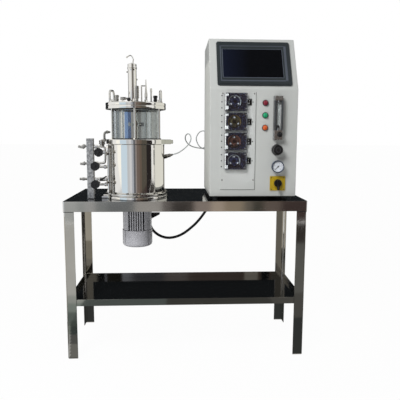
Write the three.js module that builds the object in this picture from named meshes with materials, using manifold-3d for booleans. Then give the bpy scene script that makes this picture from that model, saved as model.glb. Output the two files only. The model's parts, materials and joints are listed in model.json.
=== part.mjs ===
// Bench bioreactor: a jacketed stirred vessel and its control cabinet on a stainless bench.
// Millimetres, +Z up, origin on the floor under the middle of the bench top, front towards -Y.
import * as THREE from 'three';
import { mergeVertices } from 'three/addons/utils/BufferGeometryUtils.js';
import Module from 'manifold-3d';

const wasm = await Module();
wasm.setup();

// ---------------------------------------------------------------- sizes
const seat = 0.3; // running and resting clearance between any two pieces
const over = 1; // how far a cutting tool runs past the face it opens
const sunk = 1; // how far a welded or glued part reaches into the next one
const coarse = 8; // sides of a pin or a thin rod
const medium = 12; // sides of a knob or a pipe fitting
const cornerSteps = 3; // flats in a round corner
const round = 18; // sides of a cap or a dial
const wide = 24; // sides of the motor casting
const fine = 32; // sides of a vessel wall

// bench
const benchWidth = 1000;
const benchDepth = 500;
const benchHeight = 667;
const apronHeight = 42;
const apronSheet = 2;
const cornerRadius = 8;
const topPlateThick = 6;
const ledgeWidth = 30;
const ledgeThick = 3;
const legFlange = 42;
const legSheet = 3;
const legFrameDepth = 397;
const shelfRimTop = 256;
const shelfRimHeight = 28;
const shelfSheet = 2;
const shelfLedge = 28;
const shelfPlateThick = 4;

// vessel, about its own axis
const vesselX = -213;
const vesselY = -93;
const baseRadius = 135;
const baseThick = 24;
const axleClear = 4; // free space round the shaft where it passes a plate
const jacketRadius = 120;
const jacketSpace = 14.5;
const wallSheet = 2;
const jacketHeight = 204.7;
const vesselFloor = 12;
const flangeThick = 20;
const flangeLip = 2; // how far the top flange's bore lies inside the glass
const glassRadius = 103;
const glassWall = 6;
const glassHeight = 125;
const studRadius = 4;
const studCount = 6;
const studTurn = 2;
const studClear = 4;
const flangeMargin = 16;
const lidThick = 26.4;
const studStickOut = 12;
const earReach = 158;
const earHalfWidth = 22;

// drive and agitator
const shaftRadius = 9;
const shaftTop = 328;
const impellerHeights = [95, 205, 313];
const impellerRadius = 33;
const bladeCount = 6;
const bladeLength = 18;
const hubHalf = 9;
const hubWall = 4;
const couplingRadius = 18;
const motorRadius = 62.5;
const motorFlangeRadius = 70;
const finPitch = 10;
const finDepth = 8;
const grooveWidth = 4;
const motorTop = 46;
const motorLength = 95;
const cowlRadius = 65;
const cowlLength = 72.7;
const cowlSheet = 2.5;
const grilleRadius = 40;
const grillePitch = 14;
const fanRadius = 50;
const fanHeight = 25;
const fanDrop = 56; // from the motor's lower end to the fan's

// pipework
const postY = -155;
const postReach = 74.6; // from the riser's axis to the post's
const postSize = 28;
const postWall = 2;
const postHeight = 253;
const pipeRadius = 5;
const riserRadius = 6;
const riserGap = 1.5; // between the riser and the jacket
const wheelRadius = 18.3;
const wheelThick = 14;
const stemRadius = 3;

// cabinet
const cabinetX = 276;
const cabinetWidth = 360;
const cabinetFront = -215;
const cabinetRear = 165;
const cabinetSheet = 1.5;
const footHeight = 17;
const bendHeight = 454;
const cabinetHeight = 669.5;
const topFront = -108;
const pumpPanelWidth = 142.5;
const pumpPanelHeight = 396;
const pumpPanelX = -65;
const pumpPanelBottom = 45;
const pumpPanelThick = 3;
const pumpWidth = 90;
const pumpHeight = 70;
const pumpPitch = 79.2;
const pumpTop = 401.4;
const pumpX = -76.5;
const pumpDepth = 17;
const coverDepth = 13;
const coverWall = 2.5;
const rotorPocket = 27;
const rotorRadius = 24;
const rotorShift = -5.5;

// cords
const cableRadius = 6;
const leadRadius = 2.5;

// ---------------------------------------------------------------- shape helpers
// A closed triangle mesh as an exact solid, ready to be joined or cut.
function solid(geometry) {
  const bare = geometry.clone();
  bare.deleteAttribute('normal');
  bare.deleteAttribute('uv');
  const merged = mergeVertices(bare, 1e-4);
  const vertProperties = new Float32Array(merged.attributes.position.array);
  const triVerts = new Uint32Array(merged.index.array);
  const made = new wasm.Manifold(new wasm.Mesh({ numProp: 3, vertProperties, triVerts }));
  return made;
}

// An exact solid back as a three.js geometry.
function geometryOf(manifold) {
  const mesh = manifold.getMesh();
  const geometry = new THREE.BufferGeometry();
  geometry.setAttribute('position', new THREE.BufferAttribute(mesh.vertProperties, 3));
  geometry.setIndex(new THREE.BufferAttribute(mesh.triVerts, 1));
  geometry.computeVertexNormals();
  return geometry;
}

// One piece out of several that are welded or turned together.
function join(...geometries) {
  let whole = solid(geometries[0]);
  for (const geometry of geometries.slice(1)) {
    whole = whole.add(solid(geometry));
  }
  return geometryOf(whole);
}

// A piece with holes, pockets and slots taken out of it.
function cut(geometry, ...tools) {
  let whole = solid(geometry);
  for (const tool of tools) {
    whole = whole.subtract(solid(tool));
  }
  return geometryOf(whole);
}

// A block between two corners.
function block(x0, x1, y0, y1, z0, z1) {
  const geometry = new THREE.BoxGeometry(x1 - x0, y1 - y0, z1 - z0);
  return geometry.translate((x0 + x1) / 2, (y0 + y1) / 2, (z0 + z1) / 2);
}

// A round bar standing on z0, with its lower and upper radius.
function bar(x, y, z0, z1, radius, sides = medium, upper = radius) {
  const geometry = new THREE.CylinderGeometry(upper, radius, z1 - z0, sides);
  return geometry.rotateX(Math.PI / 2).translate(x, y, (z0 + z1) / 2);
}

// A round bar along Y, from its front face y0 to its back face y1.
function barY(x, z, y0, y1, radius, sides = medium, front = radius) {
  const geometry = new THREE.CylinderGeometry(radius, front, y1 - y0, sides);
  return geometry.translate(x, (y0 + y1) / 2, z);
}

// The radius of a bore whose flats clear a round pin of this radius, however the pin turns.
function bore(pinRadius, sides) {
  return (pinRadius + seat) / Math.cos(Math.PI / sides);
}

// A round bar between any two points.
function strut(from, to, radius, sides = coarse, end = radius) {
  const start = new THREE.Vector3(...from);
  const finish = new THREE.Vector3(...to);
  const along = finish.clone().sub(start);
  const geometry = new THREE.CylinderGeometry(end, radius, along.length(), sides);
  const turn = new THREE.Quaternion().setFromUnitVectors(new THREE.Vector3(0, 1, 0), along.normalize());
  return geometry.applyQuaternion(turn).translate(...start.add(finish).multiplyScalar(0.5).toArray());
}

// A turned piece: its profile is [radius, height] going up the outside, about Z.
function turned(profile, sides = fine) {
  const points = profile.map(([radius, height]) => new THREE.Vector2(radius, height));
  return new THREE.LatheGeometry(points, sides).rotateX(Math.PI / 2);
}

// A hollow turned piece: the same, closed back to its first point.
function turnedRing(profile, sides = fine) {
  return turned([...profile, profile[0]], sides);
}

// A flat outline in X and Y, pulled up from z0 to z1.
function plate(outline, z0, z1) {
  const shape = outline instanceof THREE.Shape ? outline : new THREE.Shape(outline);
  const settings = { depth: z1 - z0, bevelEnabled: false, curveSegments: cornerSteps };
  const geometry = new THREE.ExtrudeGeometry(shape, settings);
  return geometry.translate(0, 0, z0);
}

// A rectangle with round corners, about the origin.
function roundRectangle(width, depth, radius) {
  const [w, d] = [width / 2, depth / 2];
  const shape = new THREE.Shape();
  shape.moveTo(w, radius - d);
  shape.absarc(w - radius, d - radius, radius, 0, Math.PI / 2);
  shape.absarc(radius - w, d - radius, radius, Math.PI / 2, Math.PI);
  shape.absarc(radius - w, radius - d, radius, Math.PI, 1.5 * Math.PI);
  shape.absarc(w - radius, radius - d, radius, 1.5 * Math.PI, 2 * Math.PI);
  return shape;
}

// A round bar bent along a smooth curve through the points.
function bent(points, radius, sides, steps) {
  const path = new THREE.CatmullRomCurve3(points.map((point) => new THREE.Vector3(...point)));
  const section = new THREE.Shape();
  for (let side = 0; side < sides; side += 1) {
    const angle = (side / sides) * 2 * Math.PI;
    const corner = [radius * Math.cos(angle), radius * Math.sin(angle)];
    if (side === 0) {
      section.moveTo(...corner);
    } else {
      section.lineTo(...corner);
    }
  }
  section.closePath();
  return new THREE.ExtrudeGeometry(section, { steps, bevelEnabled: false, extrudePath: path });
}

// ---------------------------------------------------------------- finishes
function finish(color, roughness, metalness) {
  return new THREE.MeshStandardMaterial({ color, roughness, metalness });
}

const polishedSteel = finish(0xc9c9c6, 0.12, 1);
const brushedSteel = finish(0x8a8884, 0.3, 1);
const blackGloss = finish(0x0b0c0d, 0.08, 0);
const blackPlastic = finish(0x17181a, 0.45, 0);
const clearGlass = finish(0xdfe8e6, 0.03, 0);
const motorPaint = finish(0xa3a4a8, 0.5, 0);
const cabinetPaint = finish(0xd6d6d0, 0.55, 0);
const darkPlastic = finish(0x3b3d40, 0.5, 0);
const clearCover = finish(0xc8d2d6, 0.1, 0);
const rotorBlue = finish(0x1d2430, 0.4, 0);
const switchYellow = finish(0xd3b71c, 0.5, 0);
const dialWhite = finish(0xe9e9e6, 0.5, 0);
const pumpBody = finish(0x4a4d50, 0.5, 0);
const cableBlack = finish(0x0d0d0e, 0.6, 0);
const leadGrey = finish(0xb9bdbd, 0.5, 0);

// A named piece of the assembly, placed in its group.
function piece(parent, name, geometry, material, place = [0, 0, 0]) {
  const mesh = new THREE.Mesh(geometry, material);
  mesh.name = name;
  mesh.position.set(...place);
  parent.add(mesh);
  return mesh;
}

const bioreactor = new THREE.Group();
const onTop = new THREE.Group();
onTop.position.z = benchHeight;
bioreactor.add(onTop);

// ---------------------------------------------------------------- bench
const plateUnderside = benchHeight - topPlateThick;
const ledgeUnderside = plateUnderside - seat - ledgeThick;
const glandX = 118;
const glandY = -20;
const glandRadius = 9.7;

// The rim is folded sheet with a ledge inside, so the black plate lies flush in it.
function benchRim() {
  const inside = 2 * apronSheet;
  const outline = roundRectangle(benchWidth, benchDepth, cornerRadius);
  const within = roundRectangle(benchWidth - inside, benchDepth - inside, cornerRadius - apronSheet);
  const outer = plate(outline, benchHeight - apronHeight, benchHeight);
  const well = plate(within, plateUnderside - seat, benchHeight + over);
  const underneath = plate(within, benchHeight - apronHeight - over, ledgeUnderside);
  const openX = benchWidth / 2 - apronSheet - ledgeWidth;
  const openY = benchDepth / 2 - apronSheet - ledgeWidth;
  const middle = block(-openX, openX, -openY, openY, ledgeUnderside - over, benchHeight);
  return cut(outer, well, underneath, middle);
}

function benchTopPlate() {
  const lost = 2 * (apronSheet + seat);
  const outline = roundRectangle(benchWidth - lost, benchDepth - lost, cornerRadius - apronSheet - seat);
  const sheet = plate(outline, plateUnderside, benchHeight);
  const [under, above] = [plateUnderside - over, benchHeight + over];
  const shaftHole = bar(vesselX, vesselY, under, above, shaftRadius + axleClear);
  const cableHole = bar(glandX, glandY, under, above, bore(glandRadius, medium));
  return cut(sheet, shaftHole, cableHole);
}

// A leg is an L of folded sheet, open towards the middle of the bench. Its bend fits the rim's corner.
function leg(sideways, depthwise) {
  const bend = cornerRadius - apronSheet;
  const outline = [
    [legFlange, 0],
    [legFlange, legSheet],
    [bend, legSheet],
    [legSheet, bend],
    [legSheet, legFlange],
    [0, legFlange],
  ];
  const steps = 4;
  for (let step = 0; step <= steps; step += 1) {
    const angle = Math.PI * (1 + (0.5 * step) / steps);
    outline.push([bend + bend * Math.cos(angle), bend + bend * Math.sin(angle)]);
  }
  const mirrored = outline.map(([x, y]) => new THREE.Vector2(x * sideways, y * depthwise));
  return plate(mirrored, 0, ledgeUnderside - seat);
}

const legOutsideX = benchWidth / 2 - apronSheet - seat;
const legFrontY = -benchDepth / 2 + apronSheet + seat;
const legBackY = legFrontY + legFrameDepth;

// The shelf is a tray: an upright rim with a ledge that carries its own plate.
const trayX = legOutsideX - legSheet - seat;
const trayFrontY = legFrontY + legSheet + seat;
const trayBackY = legBackY - legSheet - seat;
const trayFloor = shelfRimTop - shelfRimHeight;

// A slab of the tray's outline, drawn in by an inset all round.
function traySlab(inset, z0, z1) {
  const corner = Math.max(cornerRadius - inset, 1);
  const depth = trayBackY - trayFrontY - 2 * inset;
  const slab = plate(roundRectangle(2 * (trayX - inset), depth, corner), z0, z1);
  return slab.translate(0, (trayFrontY + trayBackY) / 2, 0);
}

function shelfRim() {
  const outer = traySlab(0, trayFloor, shelfRimTop);
  const well = traySlab(shelfSheet, trayFloor + shelfSheet, shelfRimTop + over);
  const middle = traySlab(shelfLedge, trayFloor - over, trayFloor + shelfSheet + over);
  return cut(outer, well, middle);
}

function shelfPlate() {
  const inset = shelfSheet + seat;
  const bottom = trayFloor + inset;
  return traySlab(inset, bottom, bottom + shelfPlateThick);
}

piece(bioreactor, 'bench_top_rim', benchRim(), brushedSteel);
piece(bioreactor, 'bench_top_plate', benchTopPlate(), blackGloss);
piece(bioreactor, 'leg_front_left', leg(1, 1), brushedSteel, [-legOutsideX, legFrontY, 0]);
piece(bioreactor, 'leg_front_right', leg(-1, 1), brushedSteel, [legOutsideX, legFrontY, 0]);
piece(bioreactor, 'leg_back_left', leg(1, -1), brushedSteel, [-legOutsideX, legBackY, 0]);
piece(bioreactor, 'leg_back_right', leg(-1, -1), brushedSteel, [legOutsideX, legBackY, 0]);
piece(bioreactor, 'shelf_rim', shelfRim(), brushedSteel);
piece(bioreactor, 'shelf_plate', shelfPlate(), blackGloss);

// ---------------------------------------------------------------- vessel
const vessel = new THREE.Group();
vessel.position.set(vesselX, vesselY, 0);
onTop.add(vessel);

const jacketBottom = seat + baseThick + seat;
const flangeBottom = jacketBottom + jacketHeight;
const flangeTop = flangeBottom + flangeThick;
const studCircle = glassRadius + studClear + studRadius;
const flangeRadius = studCircle + flangeMargin;
const innerRadius = jacketRadius - 2 * wallSheet - jacketSpace;
const flangeBore = glassRadius - flangeLip;
const lidBottom = flangeTop + seat + glassHeight + seat;
const lidTop = lidBottom + lidThick;

// The riser pipe stands in line with the post, close beside the jacket.
const riserReach = jacketRadius + riserRadius + riserGap;
const riserOffY = postY - vesselY;
const riserOffX = -Math.sqrt(riserReach ** 2 - riserOffY ** 2);
const riserX = vesselX + riserOffX;
const bossHeights = [190, 70];
const portRadius = 3.5;
const portReach = 0.87; // share of the way to the riser where a port opens into the heating space

function baseFlange() {
  const clear = shaftRadius + axleClear;
  const half = baseThick / 2;
  const ring = turnedRing([
    [clear, seat],
    [baseRadius, seat],
    [baseRadius, seat + half - 1],
    [baseRadius - 4, seat + half - 0.5],
    [baseRadius - 4, seat + half + 0.5],
    [baseRadius - 1, seat + half + 1],
    [baseRadius - 1, seat + baseThick],
    [clear, seat + baseThick],
  ]);
  const lug = block(-baseRadius - 8, -baseRadius + 20, -62, -38, seat, seat + half - 1);
  const reach = strut([-100, -50, seat + half / 2], [-baseRadius - 2, -50, seat + half / 2], 5);
  return join(ring, lug, reach);
}

// Positions of the lid studs, counted from the front.
function studPlaces() {
  const places = [];
  for (let stud = 0; stud < studCount; stud += 1) {
    const angle = THREE.MathUtils.degToRad(studTurn + (stud * 360) / studCount);
    places.push([studCircle * Math.sin(angle), -studCircle * Math.cos(angle)]);
  }
  return places;
}

// Double wall with the heating space between, the top flange, its ear and the studs.
function jacketShell() {
  const outside = turned([
    [0, jacketBottom],
    [jacketRadius, jacketBottom],
    [jacketRadius, flangeBottom],
    [flangeRadius, flangeBottom],
    [flangeRadius, flangeTop],
    [0, flangeTop],
  ]);
  const ear = join(
    block(flangeRadius - 12, earReach - 9, -earHalfWidth, earHalfWidth, flangeBottom, flangeTop),
    block(earReach - 10, earReach, -earHalfWidth + 6, earHalfWidth - 6, flangeBottom + 2, flangeTop - 2),
  );
  const floorTop = jacketBottom + vesselFloor;
  const inside = bar(0, 0, floorTop, flangeBottom, innerRadius, fine);
  const mouth = bar(0, 0, flangeBottom - over, flangeTop + over, flangeBore, fine);
  const space = turnedRing([
    [innerRadius + wallSheet, floorTop],
    [jacketRadius - wallSheet, floorTop],
    [jacketRadius - wallSheet, flangeBottom - wallSheet],
    [innerRadius + wallSheet, flangeBottom - wallSheet],
  ]);
  const shaftBore = bar(0, 0, jacketBottom - over, floorTop + over, bore(shaftRadius, medium));
  const [portX, portY] = [riserOffX * portReach, riserOffY * portReach];
  const ports = bossHeights.map((height) =>
    strut([riserOffX, riserOffY, height], [portX, portY, height], portRadius),
  );
  const studTop = lidTop + studStickOut;
  const studs = studPlaces().map(([x, y]) => bar(x, y, flangeTop - 2 * sunk, studTop, studRadius, coarse));
  return join(cut(join(outside, ear), inside, mouth, space, shaftBore, ...ports), ...studs);
}

function glassCylinder() {
  const bottom = flangeTop + seat;
  return turnedRing([
    [glassRadius - glassWall, bottom],
    [glassRadius, bottom],
    [glassRadius, bottom + glassHeight],
    [glassRadius - glassWall, bottom + glassHeight],
  ]);
}

// Places on the lid, from the vessel axis.
const condenserAt = [-14.5, 13];
const feedAt = [44.2, -7];
const feedRodAt = [25.4, -7];
const probeAt = [65.7, -7];
const airAt = [-50, -52];
const tubeRadius = 3;
const probeRadius = 3.5;
const airRadius = 4;
const dipTubeEnd = 80;
const probeEnd = 150;
const spargerHeight = 50;

function lidPlate() {
  const middle = lidBottom + lidThick / 2;
  const disc = turned([
    [0, lidBottom],
    [flangeRadius, lidBottom],
    [flangeRadius, middle - 1],
    [flangeRadius - 3, middle - 0.5],
    [flangeRadius - 3, middle + 0.5],
    [flangeRadius, middle + 1],
    [flangeRadius, lidTop - 1],
    [flangeRadius - 1, lidTop],
    [0, lidTop],
  ]);
  const hole = ([x, y], radius) => bar(x, y, lidBottom - over, lidTop + over, bore(radius, coarse), coarse);
  return cut(
    disc,
    ...studPlaces().map((place) => hole(place, studRadius)),
    hole(feedAt, tubeRadius),
    hole(probeAt, probeRadius),
    hole(airAt, airRadius),
  );
}

piece(vessel, 'vessel_base_flange', baseFlange(), polishedSteel);
piece(vessel, 'jacketed_vessel', jacketShell(), polishedSteel);
piece(vessel, 'glass_cylinder', glassCylinder(), clearGlass);
piece(vessel, 'lid', lidPlate(), polishedSteel);

// ---------------------------------------------------------------- lid fittings
const onLid = lidTop + seat;
const handleReach = [-101, 105];
const handleHalf = 28;
const handleHeight = 55.7;
const handleWire = 4.5;

function lidHandle(lean) {
  const top = onLid + handleHeight - handleWire;
  const path = [
    [-lean, -handleHalf, onLid + 3],
    [-lean, -handleHalf, onLid + 25],
    [-lean, -handleHalf + 2, top - 9],
    [-lean * 0.6, -handleHalf + 11, top],
    [0, 0, top],
    [lean * 0.6, handleHalf - 11, top],
    [lean, handleHalf - 2, top - 9],
    [lean, handleHalf, onLid + 25],
    [lean, handleHalf, onLid + 3],
  ];
  return join(
    bent(path, handleWire, coarse, 12),
    bar(-lean, -handleHalf, onLid, onLid + 5, handleWire + 3, coarse),
    bar(lean, handleHalf, onLid, onLid + 5, handleWire + 3, coarse),
  );
}

const condenserRadius = 18;
const condenserTop = 549;
const condenserOutlet = 533.5;
const condenserInlet = 502.5;
const capTop = 567;

function condenser() {
  const profile = turned([
    [0, onLid],
    [condenserRadius + 5, onLid],
    [condenserRadius + 5, onLid + 8],
    [condenserRadius, onLid + 10],
    [condenserRadius, condenserTop - 5],
    [condenserRadius + 2, condenserTop - 3],
    [condenserRadius + 2, condenserTop],
    [0, condenserTop],
  ], round);
  const outlet = strut([0, 0, condenserOutlet], [-condenserRadius - 6.5, 0, condenserOutlet], 3.5);
  const inlet = strut([0, 0, condenserInlet], [condenserRadius + 4, 0, condenserInlet], 4);
  return join(profile, outlet, inlet);
}

function condenserCap() {
  const bottom = condenserTop + seat;
  const cap = turned([
    [0, bottom],
    [condenserRadius + 2, bottom],
    [condenserRadius + 2, bottom + 4],
    [condenserRadius + 0.5, bottom + 6],
    [condenserRadius + 0.5, capTop - 2],
    [condenserRadius - 2, capTop],
    [0, capTop],
  ], round);
  const hook = bent([
    [3, 0, capTop - 3],
    [3.6, 0, capTop + 8],
    [5, 0, capTop + 19],
    [0, 0, capTop + 30],
    [-8, 0, capTop + 34.5],
    [-16, 0, capTop + 31.5],
    [-22, 0, capTop + 27],
  ], 2.6, 6, 10);
  const tip = strut([-18, 0, capTop + 30], [-24, 0, capTop + 25.5], 4);
  return join(cap, hook, tip);
}

// Feed valve: a tapered needle on a dip tube, braced to a plain rod by a cross bar.
function feedValve() {
  const away = feedRodAt[0] - feedAt[0];
  const braceHeight = 474;
  const needleTop = 501;
  return join(
    bar(0, 0, dipTubeEnd, onLid + 20, tubeRadius, coarse),
    bar(0, 0, onLid, onLid + 14, 7.5, 6).rotateZ(Math.PI / 6),
    bar(0, 0, onLid + 14 - sunk, onLid + 42, 6, coarse),
    bar(0, 0, onLid + 42 - sunk, needleTop, 5, coarse, 1.5),
    bar(away, 0, onLid, onLid + 6, 6, coarse),
    bar(away, 0, onLid + 6 - sunk, braceHeight + 3, 3, coarse),
    strut([away, 0, braceHeight], [0, 0, braceHeight], 2.5),
  );
}

function thinProbe() {
  const headTop = 464;
  return join(
    bar(0, 0, probeEnd, headTop - sunk, probeRadius, coarse),
    bar(0, 0, onLid, onLid + 8, 7, 6),
    bar(0, 0, headTop - 16, headTop, probeRadius + 1, coarse),
  );
}

// Air inlet: a fitting on the lid, a dip tube, and the ring that lets the bubbles out.
function airSparger() {
  const ringRadius = Math.hypot(...airAt);
  const elbow = onLid + 16;
  const ring = new THREE.TorusGeometry(ringRadius, airRadius, 6, 20);
  ring.translate(-airAt[0], -airAt[1], spargerHeight);
  return join(
    ring,
    bar(0, 0, spargerHeight, elbow, airRadius, coarse),
    bar(0, 0, onLid, onLid + 7, 9, 6),
    strut([-9, 0, elbow], [14, 0, elbow], 6.5),
    strut([14 - sunk, 0, elbow], [22, 0, elbow], 4),
    new THREE.SphereGeometry(8, 10, 7).translate(26, -3, elbow - 4),
  );
}

piece(vessel, 'lid_handle_left', lidHandle(5), polishedSteel, [handleReach[0], 0, 0]);
piece(vessel, 'lid_handle_right', lidHandle(-3), polishedSteel, [handleReach[1], 0, 0]);
piece(vessel, 'condenser', condenser(), polishedSteel, [...condenserAt, 0]);
piece(vessel, 'condenser_cap', condenserCap(), polishedSteel, [...condenserAt, 0]);
piece(vessel, 'feed_valve', feedValve(), polishedSteel, [...feedAt, 0]);
piece(vessel, 'temperature_probe', thinProbe(), polishedSteel, [...probeAt, 0]);
piece(vessel, 'air_sparger', airSparger(), polishedSteel, [...airAt, 0]);

// ---------------------------------------------------------------- drive and agitator
const couplingTop = -9;
const couplingFace = -27;

function agitator() {
  const parts = [
    bar(0, 0, couplingTop - sunk, shaftTop, shaftRadius, medium),
    bar(0, 0, couplingFace + seat, couplingTop, couplingRadius, medium),
  ];
  for (const height of impellerHeights) {
    parts.push(bar(0, 0, height - hubHalf, height + hubHalf, shaftRadius + hubWall, medium));
    parts.push(bar(0, 0, height - 1.5, height + 1.5, impellerRadius - bladeLength / 2, medium));
    for (let blade = 0; blade < bladeCount; blade += 1) {
      const vane = block(impellerRadius - bladeLength, impellerRadius, -1, 1, height - 8, height + 8);
      parts.push(vane.rotateZ((blade / bladeCount) * 2 * Math.PI));
    }
  }
  return join(...parts);
}

function fanShaft() {
  const fanBottom = -(motorTop + motorLength) - fanDrop;
  const fanTop = fanBottom + fanHeight;
  const parts = [
    bar(0, 0, fanBottom - 4, couplingFace, shaftRadius, medium),
    bar(0, 0, fanBottom, fanTop + sunk, shaftRadius + 9, medium),
    bar(0, 0, fanTop - 3, fanTop, fanRadius - 6, medium),
  ];
  for (let blade = 0; blade < bladeCount; blade += 1) {
    const vane = block(shaftRadius + 6, fanRadius, -1, 1, fanBottom + 1, fanTop);
    parts.push(vane.rotateZ((blade / bladeCount) * 2 * Math.PI));
  }
  return join(...parts);
}

// Cooling fins run down the front and the back of the casting, between two smooth cheeks.
function motorBody() {
  const flangeFace = -topPlateThick - seat;
  const flangeBack = flangeFace - 10;
  const grooves = [];
  for (let groove = -3; groove <= 3; groove += 1) {
    const x = groove * finPitch;
    const [left, right] = [x - grooveWidth / 2, x + grooveWidth / 2];
    const edge = Math.sqrt(motorRadius ** 2 - x ** 2);
    const [bottom, top] = [-motorTop - motorLength - over, -motorTop - 4];
    grooves.push(block(left, right, -edge - 5, -edge + finDepth, bottom, top));
    grooves.push(block(left, right, edge - finDepth, edge + 5, bottom, top));
  }
  const casting = join(
    bar(0, 0, flangeBack, flangeFace, motorFlangeRadius, wide),
    bar(0, 0, -motorTop, flangeBack + sunk, motorRadius - 12, wide),
    bar(0, 0, -motorTop - motorLength, -motorTop, motorRadius, wide),
  );
  const couplingSpace = bar(0, 0, couplingFace - 7, flangeFace + over, couplingRadius + 6, medium);
  const shaftBore = bar(0, 0, -motorTop - motorLength - over, couplingFace, bore(shaftRadius, medium));
  return cut(casting, couplingSpace, shaftBore, ...grooves);
}

function motorCowl() {
  const top = -motorTop - motorLength - seat;
  const bottom = top - cowlLength;
  const inner = cowlRadius - cowlSheet;
  const shell = turnedRing([
    [0.01, bottom],
    [cowlRadius - 16, bottom],
    [cowlRadius - 5, bottom + 4],
    [cowlRadius, bottom + 13],
    [cowlRadius, top],
    [inner, top],
    [inner, bottom + 14],
    [inner - 4, bottom + 4 + cowlSheet],
    [inner - 16, bottom + cowlSheet],
    [0.01, bottom + cowlSheet],
  ], wide);
  const slots = [];
  const [under, above] = [bottom - over, bottom + cowlSheet + over];
  for (let slot = -2; slot <= 2; slot += 1) {
    const x = slot * grillePitch;
    const reach = Math.sqrt(grilleRadius ** 2 - x ** 2);
    slots.push(block(x - 3, x + 3, -reach, reach, under, above));
  }
  return cut(shell, bar(0, 0, under, above, 2, coarse), ...slots);
}

const boxGlandAt = [52, 53];
const boxBottom = -101;

function terminalBox() {
  const outline = [
    [38, -80],
    [38, boxBottom],
    [63, boxBottom],
    [96, -84],
    [96, -80],
  ].map(([x, z]) => new THREE.Vector2(x, z));
  const wedge = plate(outline, -71, -31).rotateX(Math.PI / 2);
  const body = cut(wedge, bar(0, 0, boxBottom - 5, -70, motorRadius + seat, 80));
  return join(
    body,
    bar(...boxGlandAt, boxBottom - 6, boxBottom + 1, 9.5, 6),
    bar(...boxGlandAt, boxBottom - 12.6, boxBottom - 5, 7, medium, 8.5),
  );
}

piece(vessel, 'agitator', agitator(), polishedSteel);
piece(vessel, 'motor_fan_shaft', fanShaft(), brushedSteel);
piece(vessel, 'motor_body', motorBody(), motorPaint);
piece(vessel, 'motor_fan_cowl', motorCowl(), motorPaint);
piece(vessel, 'motor_terminal_box', terminalBox(), blackPlastic);

// The sensor fitting is screwed into the jacket and leans up a little.
const fittingLean = THREE.MathUtils.degToRad(15);
const fittingLength = 42;
const leadStart = [-55.6, -93, 185];

function sensorFitting() {
  const along = ([from, to, radius]) => {
    const point = (run) => [
      leadStart[0] - vesselX - run * Math.cos(fittingLean),
      0,
      leadStart[2] - run * Math.sin(fittingLean),
    ];
    return strut(point(from), point(to), radius, medium);
  };
  const steps = [
    [fittingLength + 12, 27, 10],
    [27 + sunk, 13, 8],
    [13 + sunk, seat, 5.5],
  ];
  const [below, above] = [leadStart[2] - 60, leadStart[2] + 60];
  const wall = bar(0, 0, below, above, jacketRadius + seat, 120);
  return cut(join(...steps.map(along)), wall);
}

piece(vessel, 'sensor_fitting', sensorFitting(), brushedSteel);

// ---------------------------------------------------------------- pipework beside the vessel
const postX = riserX - postReach;
const postRight = postX + postSize / 2;
const levelOne = 219;
const levelTwo = 151;
const levelTwoLower = 135;
const levelThree = 83;
const levelThreeLower = 61;
const dropX = riserX - 14.5;
const wheelFront = postY - 54;
const bonnetFront = postY - 31;
const valves = [
  { name: 'upper', x: postX + 41, z: 196.7, body: 9 },
  { name: 'middle', x: postX + 25.5, z: 140, body: 10 },
  { name: 'lower', x: postX + 24.5, z: 65, body: 10 },
];
const leverAt = [postX + 45, levelThree];

// The post is a square tube that carries the branch lines and their hose tails.
function manifoldPost() {
  const upright = (reach, z0, z1) => {
    return block(postX - reach, postX + reach, postY - reach, postY + reach, z0, z1);
  };
  const tube = upright(postSize / 2, seat, postHeight);
  const inside = upright(postSize / 2 - postWall, seat - over, postHeight - postWall);
  const left = postX - postSize / 2 + sunk;
  const tails = [
    strut([left, postY, levelOne + 3], [left - 14, postY, levelOne + 3], pipeRadius),
    strut([left - 8, postY, levelOne + 5], [left - 20, postY, levelOne - 4], 8.5, 6),
    strut([left - 18, postY, levelOne - 4], [left - 38, postY, levelOne + 1], 6),
    strut([left, postY, levelTwo - 2], [left - 12, postY, levelTwo - 2], pipeRadius),
    strut([left - 9, postY, levelTwo + 1], [left - 19, postY, levelTwo - 5], 7.5, 6),
    strut([left - 17, postY, levelTwo - 5], [left - 31, postY, levelTwo - 3], 5.5),
    strut([left, postY, levelThree + 1], [left - 34, postY, levelThree + 1], pipeRadius),
    strut([left - 14, postY, levelThree + 1], [left - 23, postY, levelThree + 1], 7, 6),
  ];
  return join(cut(tube, inside), ...tails);
}

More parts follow.
